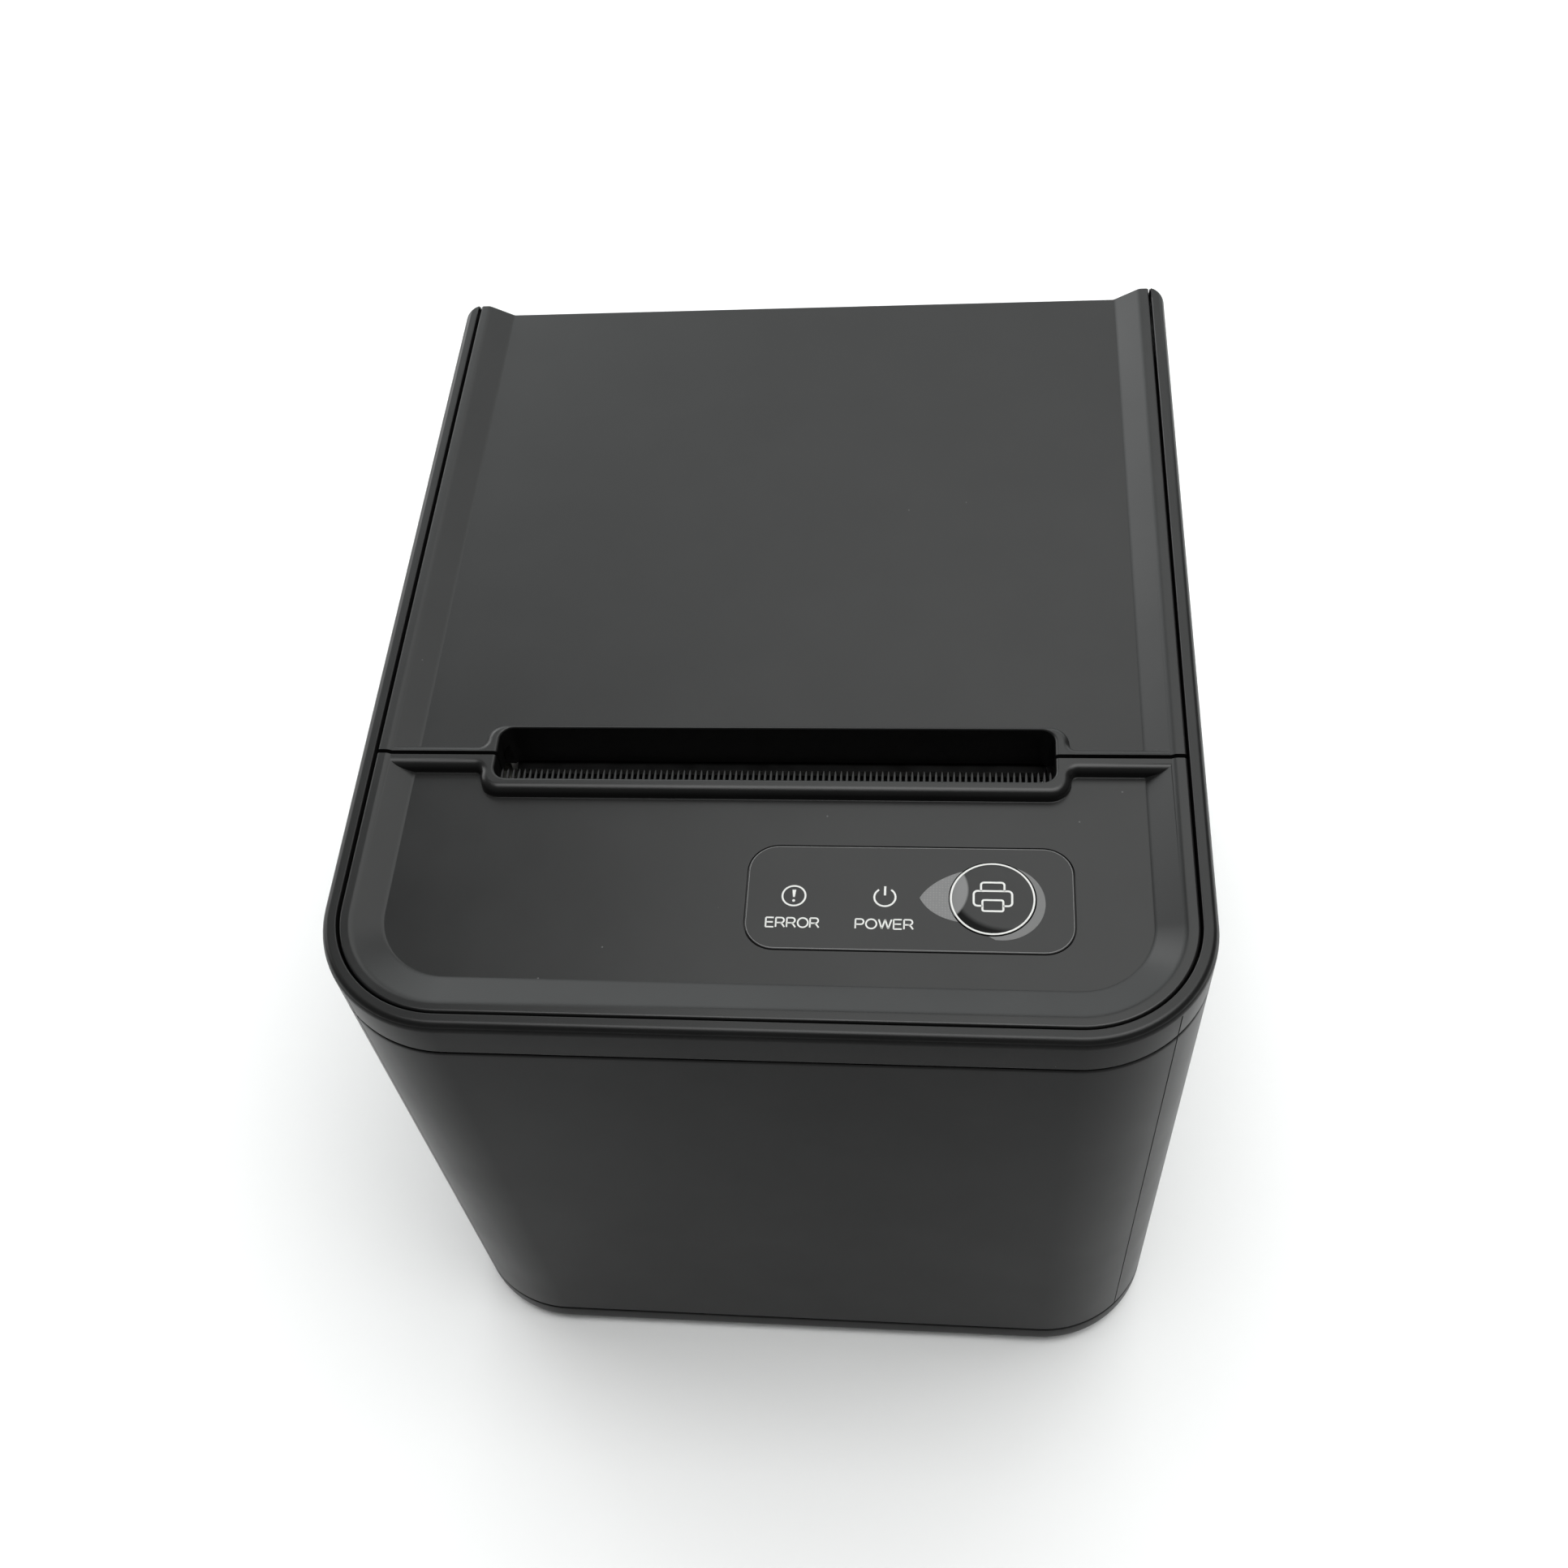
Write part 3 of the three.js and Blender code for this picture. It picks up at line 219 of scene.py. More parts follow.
def filleted(points, radii, closed=True, steps=6):
    """Rounds the corners of a line; radii has one radius for each point."""
    count = len(points)
    line = []
    for i in range(count):
        here = Vector(points[i])
        if radii[i] == 0 or (not closed and i in (0, count - 1)):
            line.append(tuple(here))
            continue
        back = (Vector(points[i - 1]) - here).normalized()
        ahead = (Vector(points[(i + 1) % count]) - here).normalized()
        half = back.angle(ahead) / 2
        reach = radii[i] / math.tan(half)
        centre = here + (back + ahead).normalized() * radii[i] / math.sin(half)
        first = here + back * reach - centre
        turn = first.angle_signed(here + ahead * reach - centre)
        for step in range(steps + 1):
            angle = -turn * step / steps
            spoke = Matrix.Rotation(angle, 2) @ first
            line.append(tuple(centre + spoke))
    return line


def line_ring(points, width, closed):
    """The outline of a drawn line of one width."""
    left = offset(points, width / 2, closed)
    right = offset(points, -width / 2, closed)
    return left, right


def drawn_line(name, points, width, z, closed=True):
    """A thin raised line on a flat face."""
    left, right = line_ring(points, width, closed)
    count = len(points)
    vertices = [(x, y, height) for height in z for side in (left, right) for x, y in side]
    faces = []
    for i in range(count if closed else count - 1):
        j = (i + 1) % count
        low_left, low_right, top_left, top_right = (k * count for k in range(4))
        faces.append((low_left + i, low_left + j, low_right + j, low_right + i))
        faces.append((top_left + i, top_right + i, top_right + j, top_left + j))
        faces.append((low_left + i, top_left + i, top_left + j, low_left + j))
        faces.append((low_right + i, low_right + j, top_right + j, top_right + i))
    if not closed:
        for i in (0, count - 1):
            faces.append((i, count + i, 3 * count + i, 2 * count + i))
    return outward(new_object(name, vertices, faces))


def merged(name, things):
    """Puts several separate bodies into one object."""
    work = bmesh.new()
    for thing in things:
        work.from_mesh(thing.data)
        bpy.data.objects.remove(thing)
    mesh = bpy.data.meshes.new(name)
    work.to_mesh(mesh)
    work.free()
    whole = bpy.data.objects.new(name, mesh)
    bpy.context.scene.collection.objects.link(whole)
    return whole


# ---------- materials ----------


class Nodes:
    """Short names for building one material's node tree."""

    def __init__(self, name):
        self.material = bpy.data.materials.new(name)
        self.material.use_nodes = True
        self.tree = self.material.node_tree
        self.shader = self.tree.nodes["Principled BSDF"]
        self.place = self.add("ShaderNodeTexCoord").outputs["Object"]

    def add(self, kind, **values):
        node = self.tree.nodes.new(kind)
        for name, value in values.items():
            if name in node.inputs:
                self.set(node.inputs[name], value)
            else:
                setattr(node, name, value)
        return node

    def set(self, socket, value):
        if isinstance(value, bpy.types.NodeSocket):
            self.tree.links.new(value, socket)
        else:
            socket.default_value = value

    def noise(self, size, detail=2.0, stretch=(1, 1, 1)):
        """Noise with features of about the given size in millimetres."""
        place = self.add("ShaderNodeMapping", Vector=self.place, Scale=stretch).outputs["Vector"]
        node = self.add("ShaderNodeTexNoise", Vector=place, Scale=1 / (size * MM), Detail=detail)
        return node.outputs["Fac"]

    def between(self, factor, low, high):
        """Maps a noise factor, which mostly lies between 0.3 and 0.7, to a range of values."""
        node = self.add("ShaderNodeMapRange")
        self.set(node.inputs["Value"], factor)
        node.inputs["From Min"].default_value = 0.3
        node.inputs["From Max"].default_value = 0.7
        node.inputs["To Min"].default_value = low
        node.inputs["To Max"].default_value = high
        return node.outputs["Result"]

    def mix(self, factor, first, second):
        node = self.add("ShaderNodeMix", data_type="RGBA")
        self.set(node.inputs[0], factor)
        self.set(node.inputs[6], first)
        self.set(node.inputs[7], second)
        return node.outputs[2]

    def near(self, x, y, z, radius, blur):
        """1 inside a sphere and 0 outside it, with a soft edge; all in millimetres."""
        away = self.add("ShaderNodeVectorMath", operation="DISTANCE")
        self.set(away.inputs[0], self.place)
        away.inputs[1].default_value = (x * MM, y * MM, z * MM)
        node = self.add("ShaderNodeMapRange")
        self.set(node.inputs["Value"], away.outputs["Value"])
        node.inputs["From Min"].default_value = (radius + blur / 2) * MM
        node.inputs["From Max"].default_value = (radius - blur / 2) * MM
        return node.outputs["Result"]

    def math(self, operation, first, second):
        node = self.add("ShaderNodeMath", operation=operation)
        self.set(node.inputs[0], first)
        self.set(node.inputs[1], second)
        return node.outputs[0]

    def bump(self, height, depth, strength=1.0, normal=None):
        """A bump whose full height is depth millimetres."""
        node = self.add("ShaderNodeBump", Height=height, Distance=depth * MM, Strength=strength)
        if normal:
            self.set(node.inputs["Normal"], normal)
        return node.outputs["Normal"]

    def finish(self, **values):
        for name, value in values.items():
            self.set(self.shader.inputs[name.replace("_", " ")], value)
        return self.material


def grey(value, tint=(1, 1, 1)):
    return (value * tint[0], value * tint[1], value * tint[2], 1)


def scaled(colour, factor):
    return tuple(channel * factor for channel in colour[:3]) + (1,)


def plastic(name, colour, rough, grain=0.18, depth=0.006, specular=0.35, mottle=0.12):
    """Moulded plastic with a fine eroded texture and slight uneven sheen."""
    nodes = Nodes(name)
    patches = nodes.between(nodes.noise(9, 3), 0, 1)
    tone = nodes.mix(patches, scaled(colour, 1 - mottle), scaled(colour, 1 + mottle))
    sheen = nodes.between(nodes.noise(14, 4), rough - 0.02, rough + 0.02)
    normal = nodes.bump(nodes.noise(grain, 1), depth)
    return nodes.finish(Base_Color=tone, Roughness=sheen, Normal=normal, Specular_IOR_Level=specular)


def metal(name, colour, rough, stretch=(1, 1, 1), size=0.4, depth=0.002, tint=0.9, edge=0.15):
    """Plated or ground metal with fine lines or grain, and edges that catch the light."""
    nodes = Nodes(name)
    soft = nodes.add("ShaderNodeBevel", samples=4, Radius=edge * MM).outputs["Normal"] if edge else None
    lines = nodes.noise(size, 2, stretch)
    tone = nodes.mix(nodes.between(nodes.noise(6, 3), 0, 1), scaled(colour, tint), colour)
    return nodes.finish(
        Base_Color=tone,
        Metallic=1.0,
        Roughness=nodes.between(lines, rough - 0.08, rough + 0.08),
        Normal=nodes.bump(lines, depth, normal=soft),
    )


def ink(name, colour):
    """Screen-printed ink, a little uneven; also used for the pale line painted along the control film's
    edge as a highlight.
    """
    nodes = Nodes(name)
    tone = nodes.mix(nodes.between(nodes.noise(0.5, 2), 0, 1), scaled(colour, 0.93), colour)
    return nodes.finish(Base_Color=tone, Roughness=0.35)


# The middles of the areas that differ within one surface.
SMUDGE = (-12, 33, 117)
BUTTON_LENS = (23.4, -50, 117.3)
# Outside a sphere round this point the key is painted near black as shade along its front left edge.
BUTTON_UNSHADED_MIDDLE = (34.4, -48.7, 117.3)
WINDOW_POINT = (20, -51.3, 117)


def housing_material(name, rough, specular, smudged=False):
    """Black-grey ABS: fine texture, uneven sheen, a few dust specks and, on the lid, a dull smudge."""
    nodes = Nodes(name)
    tone = nodes.mix(nodes.between(nodes.noise(11, 3), 0, 1), grey(0.0068), grey(0.0084))
    specks = nodes.add("ShaderNodeTexVoronoi", Vector=nodes.place, Scale=1 / (9 * MM), Randomness=1.0)
    tone = nodes.mix(nodes.math("LESS_THAN", specks.outputs["Distance"], 0.015), tone, grey(0.06))
    sheen = nodes.between(nodes.noise(16, 4), rough - 0.02, rough + 0.02)
    if smudged:
        blotches = nodes.between(nodes.noise(4, 3), 0, 1)
        patch = nodes.math("MULTIPLY", nodes.near(*SMUDGE, radius=8, blur=10), blotches)
        sheen = nodes.math("ADD", nodes.math("MULTIPLY", patch, 0.1), sheen)
    normal = nodes.bump(nodes.noise(0.22, 1), 0.005)
    return nodes.finish(Base_Color=tone, Roughness=sheen, Normal=normal, Specular_IOR_Level=specular)


def button_material():
    """A clear-topped key: paler over the lens on its left, with painted shade along its front left edge,
    where it is near black and reflects little.
    """
    nodes = Nodes("button")
    base = nodes.mix(nodes.between(nodes.noise(3, 2), 0, 1), grey(0.0105), grey(0.012))
    lens = nodes.near(*BUTTON_LENS, radius=5.8, blur=0.3)
    # clear marks the part of the key left its own colour; outside it the key is painted near black as
    # shade, and its reflection is turned down.
    clear = nodes.math("MAXIMUM", nodes.near(*BUTTON_UNSHADED_MIDDLE, radius=7.6, blur=0.7), lens)
    tone = nodes.mix(lens, nodes.mix(clear, grey(0.003), base), grey(0.14))
    gloss = nodes.math("ADD", nodes.math("MULTIPLY", clear, 0.24), 0.05)
    normal = nodes.bump(nodes.noise(0.5, 1), 0.001)
    return nodes.finish(Base_Color=tone, Roughness=0.25, Normal=normal, Specular_IOR_Level=gloss)


def window_material():
    """Clear film over a fine-dotted diffuser, palest towards its point."""
    nodes = Nodes("window")
    dots = nodes.add("ShaderNodeTexVoronoi", Vector=nodes.place, Scale=1 / (0.42 * MM), Randomness=0.15)
    dotted = nodes.mix(nodes.math("LESS_THAN", dots.outputs["Distance"], 0.33), grey(0.125), grey(0.155))
    tone = nodes.mix(nodes.near(*WINDOW_POINT, radius=11, blur=8), grey(0.108), dotted)
    normal = nodes.bump(nodes.noise(0.4, 1), 0.002)
    return nodes.finish(Base_Color=tone, Roughness=0.3, Normal=normal, Specular_IOR_Level=0.35)


def smooth_plastic(name, colour, rough, mottle=0.05):
    """Glossy moulded plastic with hardly any texture."""
    return plastic(name, colour, rough, grain=0.6, depth=0.001, specular=0.5, mottle=mottle)


def plain_metal(name, colour, rough):
    """Plated sheet with only a faint unevenness."""
    return metal(name, colour, rough, size=3, depth=0.001, edge=0)


def plain_name(material):
    """The name without the number that Blender adds to a second material of one name."""
    return material.name.split(".")[0]


MATERIALS = {plain_name(material): material for material in (
    housing_material("housing", 0.3, 0.05),
    housing_material("rim_housing", 0.32, 0.27),
    housing_material("cover_housing", 0.3, 0.34),
    housing_material("lid_housing", 0.36, 0.33, smudged=True),
    plastic("overlay", grey(0.0115), 0.24, grain=0.5, depth=0.001, specular=0.3, mottle=0.04),
    button_material(),
    window_material(),
    ink("print_ink", grey(0.56, (1, 1, 0.97))),
    # A pale line painted along the control film's edge as a highlight.
    ink("film_edge_highlight", grey(0.1)),
    plastic("comb", grey(0.01), 0.45, grain=0.3, depth=0.004, specular=0.3),
    # slot_wall: near black and hardly reflecting, painted shade for the inside of the paper slot.
    plastic("slot_wall", grey(0.003), 0.6, grain=0.4, depth=0.01, specular=0.04),
    plastic("inner_plastic", grey(0.012), 0.5, grain=0.35, depth=0.01),
    plastic("roller_rubber", grey(0.01), 0.62, grain=0.12, depth=0.01, specular=0.3),
    plastic("foot_rubber", grey(0.012), 0.8, grain=0.3, depth=0.02, specular=0.25),
    plastic("flex", (0.45, 0.2, 0.04, 1), 0.35, grain=0.5, depth=0.002, specular=0.5),
    plastic("board", (0.012, 0.075, 0.03, 1), 0.32, grain=0.8, depth=0.01, specular=0.5, mottle=0.25),
    smooth_plastic("ceramic", grey(0.62, (1, 0.98, 0.94)), 0.16),
    smooth_plastic("gear_nylon", grey(0.66, (1, 0.97, 0.9)), 0.38),
    smooth_plastic("light_pipe", grey(0.7), 0.15),
    smooth_plastic("green_lens", (0.05, 0.2, 0.06, 1), 0.2),
    smooth_plastic("amber_lens", (0.34, 0.2, 0.04, 1), 0.2),
    metal("steel_sheet", grey(0.5, (1, 1, 0.98)), 0.38),
    metal("steel_shaft", grey(0.62), 0.18, stretch=(20, 1, 1), size=0.8),
    metal("blade_steel", grey(0.42), 0.3, stretch=(1, 12, 1), size=1.2),
    metal("motor_can", grey(0.42), 0.33, stretch=(12, 1, 1), size=1.5),
    metal("heat_sink", grey(0.66), 0.42, stretch=(1, 12, 12), size=3),
    plain_metal("socket_metal", grey(0.42), 0.3),
    plain_metal("zinc_plate", grey(0.26), 0.5),
    # Near-black steel: painted shade for the blades and blade guides under the paper slot.
    plain_metal("steel_darkened_as_shade", grey(0.02), 0.5),
    plain_metal("gold", (0.6, 0.42, 0.16, 1), 0.25),
)}


def piece(thing, body, slot, look=None, replaces=(), sharp=32):
    """Shades a finished mesh, gives it its material and hands it to the frame."""
    mesh = thing.data
    mesh.materials.clear()
    mesh.materials.append(MATERIALS[look or slot])
    mesh.shade_smooth()
    mesh.set_sharp_from_angle(angle=math.radians(sharp))
    normals = thing.modifiers.new("normals", "WEIGHTED_NORMAL")
    normals.keep_sharp = True
    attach(thing, body)
    if replaces:
        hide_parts(*replaces)
    return thing


def paint_slot_shade(thing):
    """Paints the faces inside the paper slot a dull near black, as painted shade where little light
    reaches.
    """
    thing.data.materials.append(MATERIALS["slot_wall"])
    for face in thing.data.polygons:
        x, y, z = face.center / MM
        if abs(x) < SLOT_X + 0.2 and SLOT_Y[0] - 0.2 < y < SLOT_Y[1] + 0.2 and z < LIP_TOP - 0.35:
            face.material_index = 1


# ---------- outlines of the housing ----------


def body_plan(inset):
    """The outline of the housing seen from above, moved in by an inset."""
    rear = max(REAR_RADIUS - inset, 0.3)
    x = HALF_WIDTH - inset
    y = HALF_DEPTH - inset
    return corners((-x, x), (-y, y), FRONT_RADIUS - inset, rear, PLAN_STEPS)


def quarter(bottom_inset, top, across, down, steps=8):
    """(inset, height) pairs of a rounded top edge."""
    for step in range(steps + 1):
        angle = math.pi / 2 * step / steps
        yield bottom_inset + across * (1 - math.cos(angle)), top - down + down * math.sin(angle)


# ---------- base and case ----------

FOOT = (48, 55)
SCREW = (54, 66.5)
# (inset, height) pairs up the tray's rounded side.
TRAY_SIDE = [
    (1.4, 2.0), (1.0, 2.06), (0.68, 2.25), (0.38, 2.6), (0.15, 3.1), (0.04, 3.6), (0, 4.2),
    (0, 6.75), (0.1, 7.0), (0.35, BASE_TOP),
]
FOOT_WELL = (6.8, 2.9)
SCREW_HEAD_WELL = (3.2, 3.5)
SCREW_HOLE_RADIUS = 1.8
LABEL_RECESS_TOP = 2.3
VENTS_PER_SIDE = 4
VENT_PITCH = 3.2
OUTER_VENT = 26.8
# The posts under the mechanism and under the main board: x, both y, radius and top.
TRAY_POSTS = [(38, (-60, -28), 3.2, 49.7), (46, (-12, 50), 2.6, 13.7)]
POST_BOTTOM = 3.6


def base_tray():
    tray = loft("base_tray_skin", [(body_plan(inset), z) for inset, z in TRAY_SIDE])
    tools = [loft("hollow", [(body_plan(WALL), FLOOR_TOP), (body_plan(WALL), BASE_TOP + 1)])]
    for side in (-1, 1):
        for end in (-1, 1):
            well = circle(side * FOOT[0], end * FOOT[1], FOOT_WELL[0])
            tools.append(prism("well", well, 0, FOOT_WELL[1]))
        well = circle(side * SCREW[0], SCREW[1], SCREW_HEAD_WELL[0], 32)
        tools.append(prism("well", well, 0, SCREW_HEAD_WELL[1]))
        hole = circle(side * SCREW[0], SCREW[1], SCREW_HOLE_RADIUS, 24)
        tools.append(prism("hole", hole, 0, 8))
    tools.append(prism("recess", corners((-24, 24), (-17, 17), 2, 2, 6), 1, LABEL_RECESS_TOP))
    for side in (-1, 1):
        for row in range(VENTS_PER_SIDE):
            y = side * (OUTER_VENT - VENT_PITCH * row) - 0.3
            tools.append(prism("vent", corners((-15, 15), (y - 0.7, y + 0.7), 0.6, 0.6, 4), 0, 8))
    cut(tray, *tools)
    posts = []
    for side in (-1, 1):
        for x, both, radius, top in TRAY_POSTS:
            for y in both:
                posts.append(prism("post", circle(side * x, y, radius, 24), POST_BOTTOM, top))
    joined(tray, *posts)
    piece(tray, "case", "housing", replaces=["base_tray"])


def mould_line(side, bottom, top, inset=0.0):
    """A hairline groove down one front corner, at 45 degrees."""
    reach = (FRONT_RADIUS - inset) / math.sqrt(2)
    x = side * (HALF_WIDTH - FRONT_RADIUS + reach)
    y = -HALF_DEPTH + FRONT_RADIUS - reach
    across = Vector((side, 1)).normalized() * 0.11
    deep = Vector((side, -1)).normalized() * 0.16
    near, far = Vector((x, y)) - deep, Vector((x, y)) + deep
    return prism("line", [near - across, near + across, far + across, far - across], bottom, top)


# (inset, distance from the seam) pairs of the small round along each seam of the housing.
SEAM_EDGE = [(0.45, 0), (0.12, 0.15), (0, 0.5)]
LID_GAP_BOTTOM = 96.5
SOCKET_WINDOW = ((-47, 47), (12.5, 35))
SCREW_BOSS_Z = (12.5, 22)
SHELF_RIB_X = (55.5, 61.6)
SHELF_RIB_Z = (90.1, 98.1)
HINGE_BOSS_RADIUS = 4
HINGE_BORE = 2.1


def case_shell():
    levels = [(body_plan(inset), CASE_BOTTOM + up) for inset, up in SEAM_EDGE]
    levels += [(body_plan(inset), CASE_TOP - down) for inset, down in reversed(SEAM_EDGE)]
    case = loft("case_skin", levels)
    inner = body_plan(WALL)
    inside = HALF_WIDTH - WALL
    cut(
        case,
        loft("hollow", [(inner, CASE_BOTTOM - 1), (inner, CASE_TOP + 1)]),
        block("lid_gap", (-inside, inside), REAR_CUT, (LID_GAP_BOTTOM, CASE_TOP + 1)),
        block("window", SOCKET_WINDOW[0], REAR_CUT, SOCKET_WINDOW[1]),
        mould_line(-1, CASE_BOTTOM - 1, CASE_TOP + 1),
        mould_line(1, CASE_BOTTOM - 1, CASE_TOP + 1),
    )
    ribs = []
    holes = []
    for side in (-1, 1):
        boss = circle(*HINGE, HINGE_BOSS_RADIUS)
        ribs.append(prism("boss", boss, *span(side, 58.9, 61), "x"))
        ribs.append(prism("boss", circle(side * SCREW[0], SCREW[1], 3.6, 24), *SCREW_BOSS_Z))
        x = span(side, SCREW[0] - 1.2, SCREW[0] + 1.2)
        ribs.append(block("rib", x, (SCREW[1], 73.5), SCREW_BOSS_Z))
        for y in (4, 44):
            ribs.append(block("rib", span(side, *SHELF_RIB_X), (y, y + 3), SHELF_RIB_Z))
        holes.append(prism("hole", circle(*HINGE, HINGE_BORE, 32), *span(side, 50, 60.6), "x"))
        holes.append(prism("hole", circle(side * SCREW[0], SCREW[1], 1.6, 24), 12, 18))
    joined(case, *ribs)
    cut(case, *holes)
    piece(case, "case", "housing", replaces=["case_shell"])


def rim_plan(inset):
    """The rim's outline; its rear ends stay almost square while its outer edge rounds over."""
    x = HALF_WIDTH - inset
    y = (-HALF_DEPTH + inset, HALF_DEPTH - inset / 4)
    return corners((-x, x), y, FRONT_RADIUS - inset, REAR_RADIUS - inset, PLAN_STEPS)


RIM_ACROSS = 1.2
RIM_DOWN = 1.7
# (inset, height) pairs of the rim's inner edge.
RIM_INSIDE = [
    (2.25, 113.4), (2.25, TOP - 0.2), (2.22, TOP - 0.1), (2.14, TOP - 0.03),
    (2.02, TOP + 0.02), (2.02, TOP + 1),
]
RIM_LINE_TOP = 117.6


def top_frame():
    levels = [(body_plan(inset), FRAME_BOTTOM + up) for inset, up in SEAM_EDGE]
    levels += [(rim_plan(inset), z) for inset, z in quarter(0, TOP, RIM_ACROSS, RIM_DOWN, 10)]
    rim = loft("frame_skin", levels)
    cut(
        rim,
        loft("inside", [(body_plan(inset), z) for inset, z in RIM_INSIDE]),
        loft("opening", [(body_plan(5), FRAME_BOTTOM - 1), (body_plan(5), TOP)]),
        block("rear", (-60.75, 60.75), (60, 76), (FRAME_BOTTOM - 1, TOP + 1)),
        mould_line(-1, FRAME_BOTTOM - 1, RIM_LINE_TOP),
        mould_line(1, FRAME_BOTTOM - 1, RIM_LINE_TOP),
    )
    for side in (-1, 1):
        joined(rim, block("stop", span(side, 60.5, 61.2), (74.1, 74.6), (112.2, 119.25)))
    piece(rim, "case", "housing", replaces=["top_frame"])
    rim.data.materials.append(MATERIALS["rim_housing"])
    for face in rim.data.polygons:
        if face.center.z > (TOP - 0.7) * MM:
            face.material_index = 1


# ---------- front cover and lid ----------

RING_X = 43.95
WING_END = 60
PANEL_EDGE = 54.4
STRIP_EDGE = 59.1
PANEL_FRONT = -65.5
BEVEL_RUN = 5.8
PANEL_RADIUS = 10.5
RADIUS_GROWTH = 4.9
# Each lip's outline: its wings' edge, its ring's edge and the radius of the ring's corners.
COVER_LIP = (-30.15, -34.6, 3.2)
LID_LIP = (-26.1, -21.95, 2.9)


def rise(t, foot=0.05, head=0.14):
    """The bevel's rise from 0 to 1, with a small radius at its foot and its head."""
    slope = 1 / (1 - foot / 2 - head / 2)
    if t < foot:
        return slope * t * t / (2 * foot)
    if t > 1 - head:
        return 1 - slope * (1 - t) ** 2 / (2 * head)
    return slope * (t - foot / 2)


BEVEL_STEPS = 16
EDGE_ROUND = 0.4


def bevel_rise():
    """Pairs of the way across the bevel, from 0 to 1, and its height."""
    for step in range(BEVEL_STEPS + 1):
        t = step / BEVEL_STEPS
        yield t, PANEL + (COVER_TOP - PANEL) * rise(t)


def lip_outline(wing, ring, corner, fillet, beyond):
    """The slot's lip and its wings from above; wing and ring are their edges away from the parting."""
    sign = 1 if ring > wing else -1
    right = [(WING_END, beyond), (WING_END, wing), (RING_X, wing), (RING_X, ring)]
    left = [(-x, y) for x, y in reversed(right)]
    radii = [0, 0, fillet, corner]
    line = filleted(right + left, radii + radii[::-1], steps=8)
    return line if sign > 0 else line[::-1]


LIP_ROUND = 1.3


def lip(name, wing, ring, corner, beyond):
    """The raised lip along one side of the slot, with its flared foot and rounded top."""
    outline = lip_outline(wing, ring, corner, 1.0, beyond)
    levels = [(-0.12, PANEL - 1), (-0.12, PANEL), (-0.04, PANEL + 0.05), (0, PANEL + 0.18)]
    levels += list(quarter(0.03, LIP_TOP, LIP_ROUND, LIP_ROUND))
    return loft(name, [(offset(outline, inset), z) for inset, z in levels])


# (outward offset, depth below the lip's top) pairs of the slot's rounded upper edge.
SLOT_EDGE = [(0, 0.5), (0.04, 0.3), (0.14, 0.14), (0.3, 0.04), (0.5, 0), (0.52, -2)]


def slot_hole():
    """The slot, with its top edge rounded over."""
    outline = corners((-SLOT_X, SLOT_X), SLOT_Y, 2, 2, 8)
    levels = [(outline, 100)] + [(offset(outline, -wider), LIP_TOP - down) for wider, down in SLOT_EDGE]
    return loft("slot", levels)


def front_cover():
    rear = PARTING[0]

    def edge(inset):
        inset += COVER_INSET
        x = HALF_WIDTH - inset
        return corners((-x, x), (-HALF_DEPTH + inset, rear), FRONT_RADIUS - inset, 0.1, PLAN_STEPS)

    levels = [(edge(0), COVER_BOTTOM)]
    levels += [(edge(inset), z) for inset, z in quarter(0, COVER_TOP, EDGE_ROUND, EDGE_ROUND, 6)]
    cover = loft("front_cover_skin", levels)

    def dish_edge(t):
        x = PANEL_EDGE + (STRIP_EDGE - PANEL_EDGE) * t
        front = PANEL_FRONT - BEVEL_RUN * t
        return corners((-x, x), (front, 0), PANEL_RADIUS + RADIUS_GROWTH * t, 0.1, PLAN_STEPS)

    dish = [(dish_edge(t), z) for t, z in bevel_rise()]
    dish.append((dish_edge(1), TOP + 2))
    under = corners((-57.9, 57.9), (-69.9, rear - 2), 14.2, 0.2, PLAN_STEPS)
    cut(cover, loft("dish", dish), prism("under", under, COVER_BOTTOM - 1, PANEL - SKIN))
    joined(cover, lip("lips", *COVER_LIP, 0))
    cut(
        cover,
        block("behind", (-70, 70), (rear, 20), (100, 130)),
        slot_hole(),
        block("tear_bar_slit", (-41.7, 41.7), (-35.2, -31), (115.75, 116.45)),
        prism("overlay_recess", overlay_outline(), 116.55, 118),
        prism("button_hole", circle(*BUTTON, 6.2), 110, 118),
        *[prism("light_hole", circle(x, LIGHT_Y, 1.8, 32), 110, 117.5) for x in (ERROR_X, POWER_X)],
    )
    piece(cover, "case", "housing", "cover_housing", replaces=["front_cover"])
    paint_slot_shade(cover)


SKIRT_STEP = 0.2
SKIRT_BOTTOM = 99
REAR_EDGE_ROUND = 0.35
KNUCKLE_RADIUS = 4.2


def lid_section(drop):
    """The lid's section across its width, with its top lowered by drop."""
    right = [(PANEL_EDGE + (STRIP_EDGE - PANEL_EDGE) * t, z) for t, z in bevel_rise()]
    edge = HALF_WIDTH - COVER_INSET
    right += arc(edge - EDGE_ROUND, COVER_TOP - EDGE_ROUND, EDGE_ROUND, 90, 0, 6)
    right = [(x, z - drop) for x, z in right]
    right += [(edge, 113), (edge - SKIRT_STEP, 112.6), (edge - SKIRT_STEP, SKIRT_BOTTOM)]
    return right + [(-x, z) for x, z in reversed(right)]


